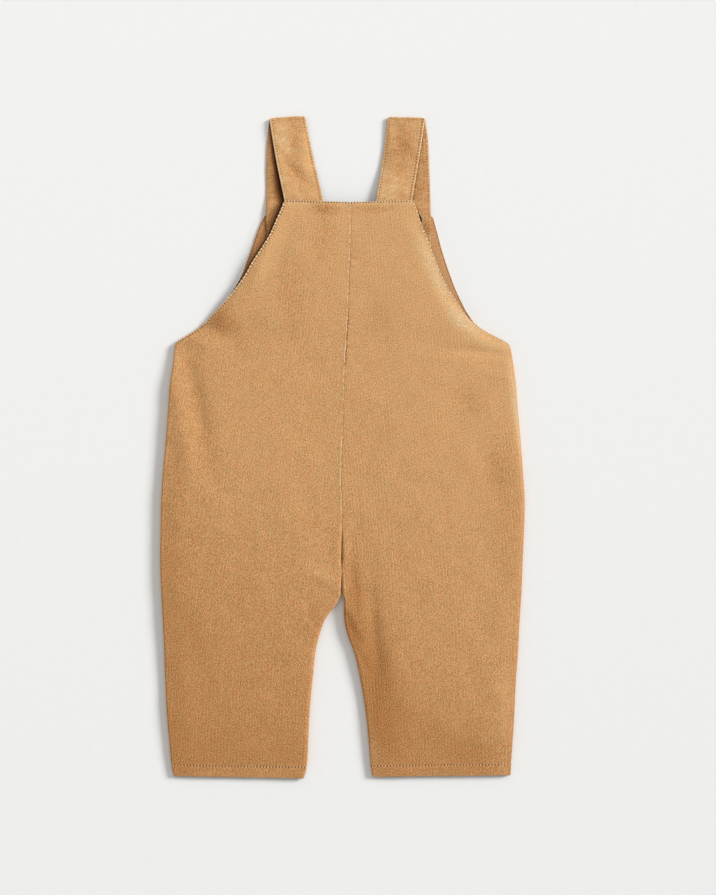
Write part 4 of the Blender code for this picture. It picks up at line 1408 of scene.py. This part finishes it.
SKY_COLOUR = (1.0, 0.99, 0.965, 1.0)
SKY_STRENGTH = 0.43
Sun = namedtuple("Sun", "name azimuth elevation angle strength colour")  # azimuth from +X towards +Y
SUNS = (
    Sun("key", 24.0, 27.0, 20.0, 3.55, (0.985, 0.994, 1.0)),
    Sun("low", 200.0, 32.0, 80.0, 0.40, (1.0, 0.985, 0.95)),
)
HIGH_PLACE = (0.0, 1.1, 1.5)
HIGH_TILT = -36.0
HIGH_POWER = 5.0
HIGH_SIZE = 1.6

FRAME_MIDDLE = (0.01154, -0.0004)
FRAME_HEIGHT = 0.6770
FRAME_LEVEL = 0.0035
CAMERA_DISTANCE = 1.6
SENSOR = 36.0
CLIP_START = 0.05


def make_floor():
    half = FLOOR_SIZE / 2
    data = bpy.data.meshes.new("floor")
    corners = [(-half, -half), (half, -half), (half, half), (-half, half)]
    data.from_pydata([(x, y, FLOOR_LEVEL) for x, y in corners], [], [(0, 1, 2, 3)])
    data.materials.append(floor_material())
    add_object("floor", data)


def add_light(name, kind, rotation, **settings):
    data = bpy.data.lights.new(name, kind)
    for key, value in settings.items():
        setattr(data, key, value)
    light = add_object(name, data)
    light.rotation_euler = rotation
    return light


def make_lights():
    world = bpy.data.worlds.new("studio")
    world.use_nodes = True
    background = world.node_tree.nodes["Background"]
    background.inputs["Color"].default_value = SKY_COLOUR
    background.inputs["Strength"].default_value = SKY_STRENGTH
    bpy.context.scene.world = world
    for sun in SUNS:
        rotation = (math.radians(90.0 - sun.elevation), 0.0, math.radians(90.0 + sun.azimuth))
        angle = math.radians(sun.angle)
        add_light(sun.name, "SUN", rotation, energy=sun.strength, angle=angle, color=sun.colour)
    tilt = (math.radians(HIGH_TILT), 0.0, 0.0)
    add_light("high", "AREA", tilt, energy=HIGH_POWER, size=HIGH_SIZE).location = HIGH_PLACE


def make_camera():
    data = bpy.data.cameras.new("camera")
    data.sensor_fit = "VERTICAL"
    data.sensor_height = SENSOR
    data.lens = SENSOR * CAMERA_DISTANCE / FRAME_HEIGHT
    data.clip_start = CLIP_START
    camera = add_object("camera", data)
    camera.location = (*FRAME_MIDDLE, FRAME_LEVEL + CAMERA_DISTANCE)
    bpy.context.scene.camera = camera


# ---- Assembly ----

# Each sheet's own size as sewn, in metres
Cut = namedtuple("Cut", "width length area")


def build():
    bpy.context.scene.view_settings.view_transform = "Standard"
    make_camera()
    make_lights()
    make_floor()
    cloth = corduroy_material()
    reverse = reverse_material()
    thread = thread_material()
    enamel = enamel_material()
    for side in ("left", "right"):
        for layer in ("front", "back"):
            panel = Panel(layer, side)
            sheet = make_panel(panel, cloth, reverse)
            stitches = make_panel_stitches(panel, thread)
        strap = Strap(side)
        band = make_strap(strap, cloth)
        stitches = make_strap_stitches(strap, thread)
        make_stud(side, enamel)


build()
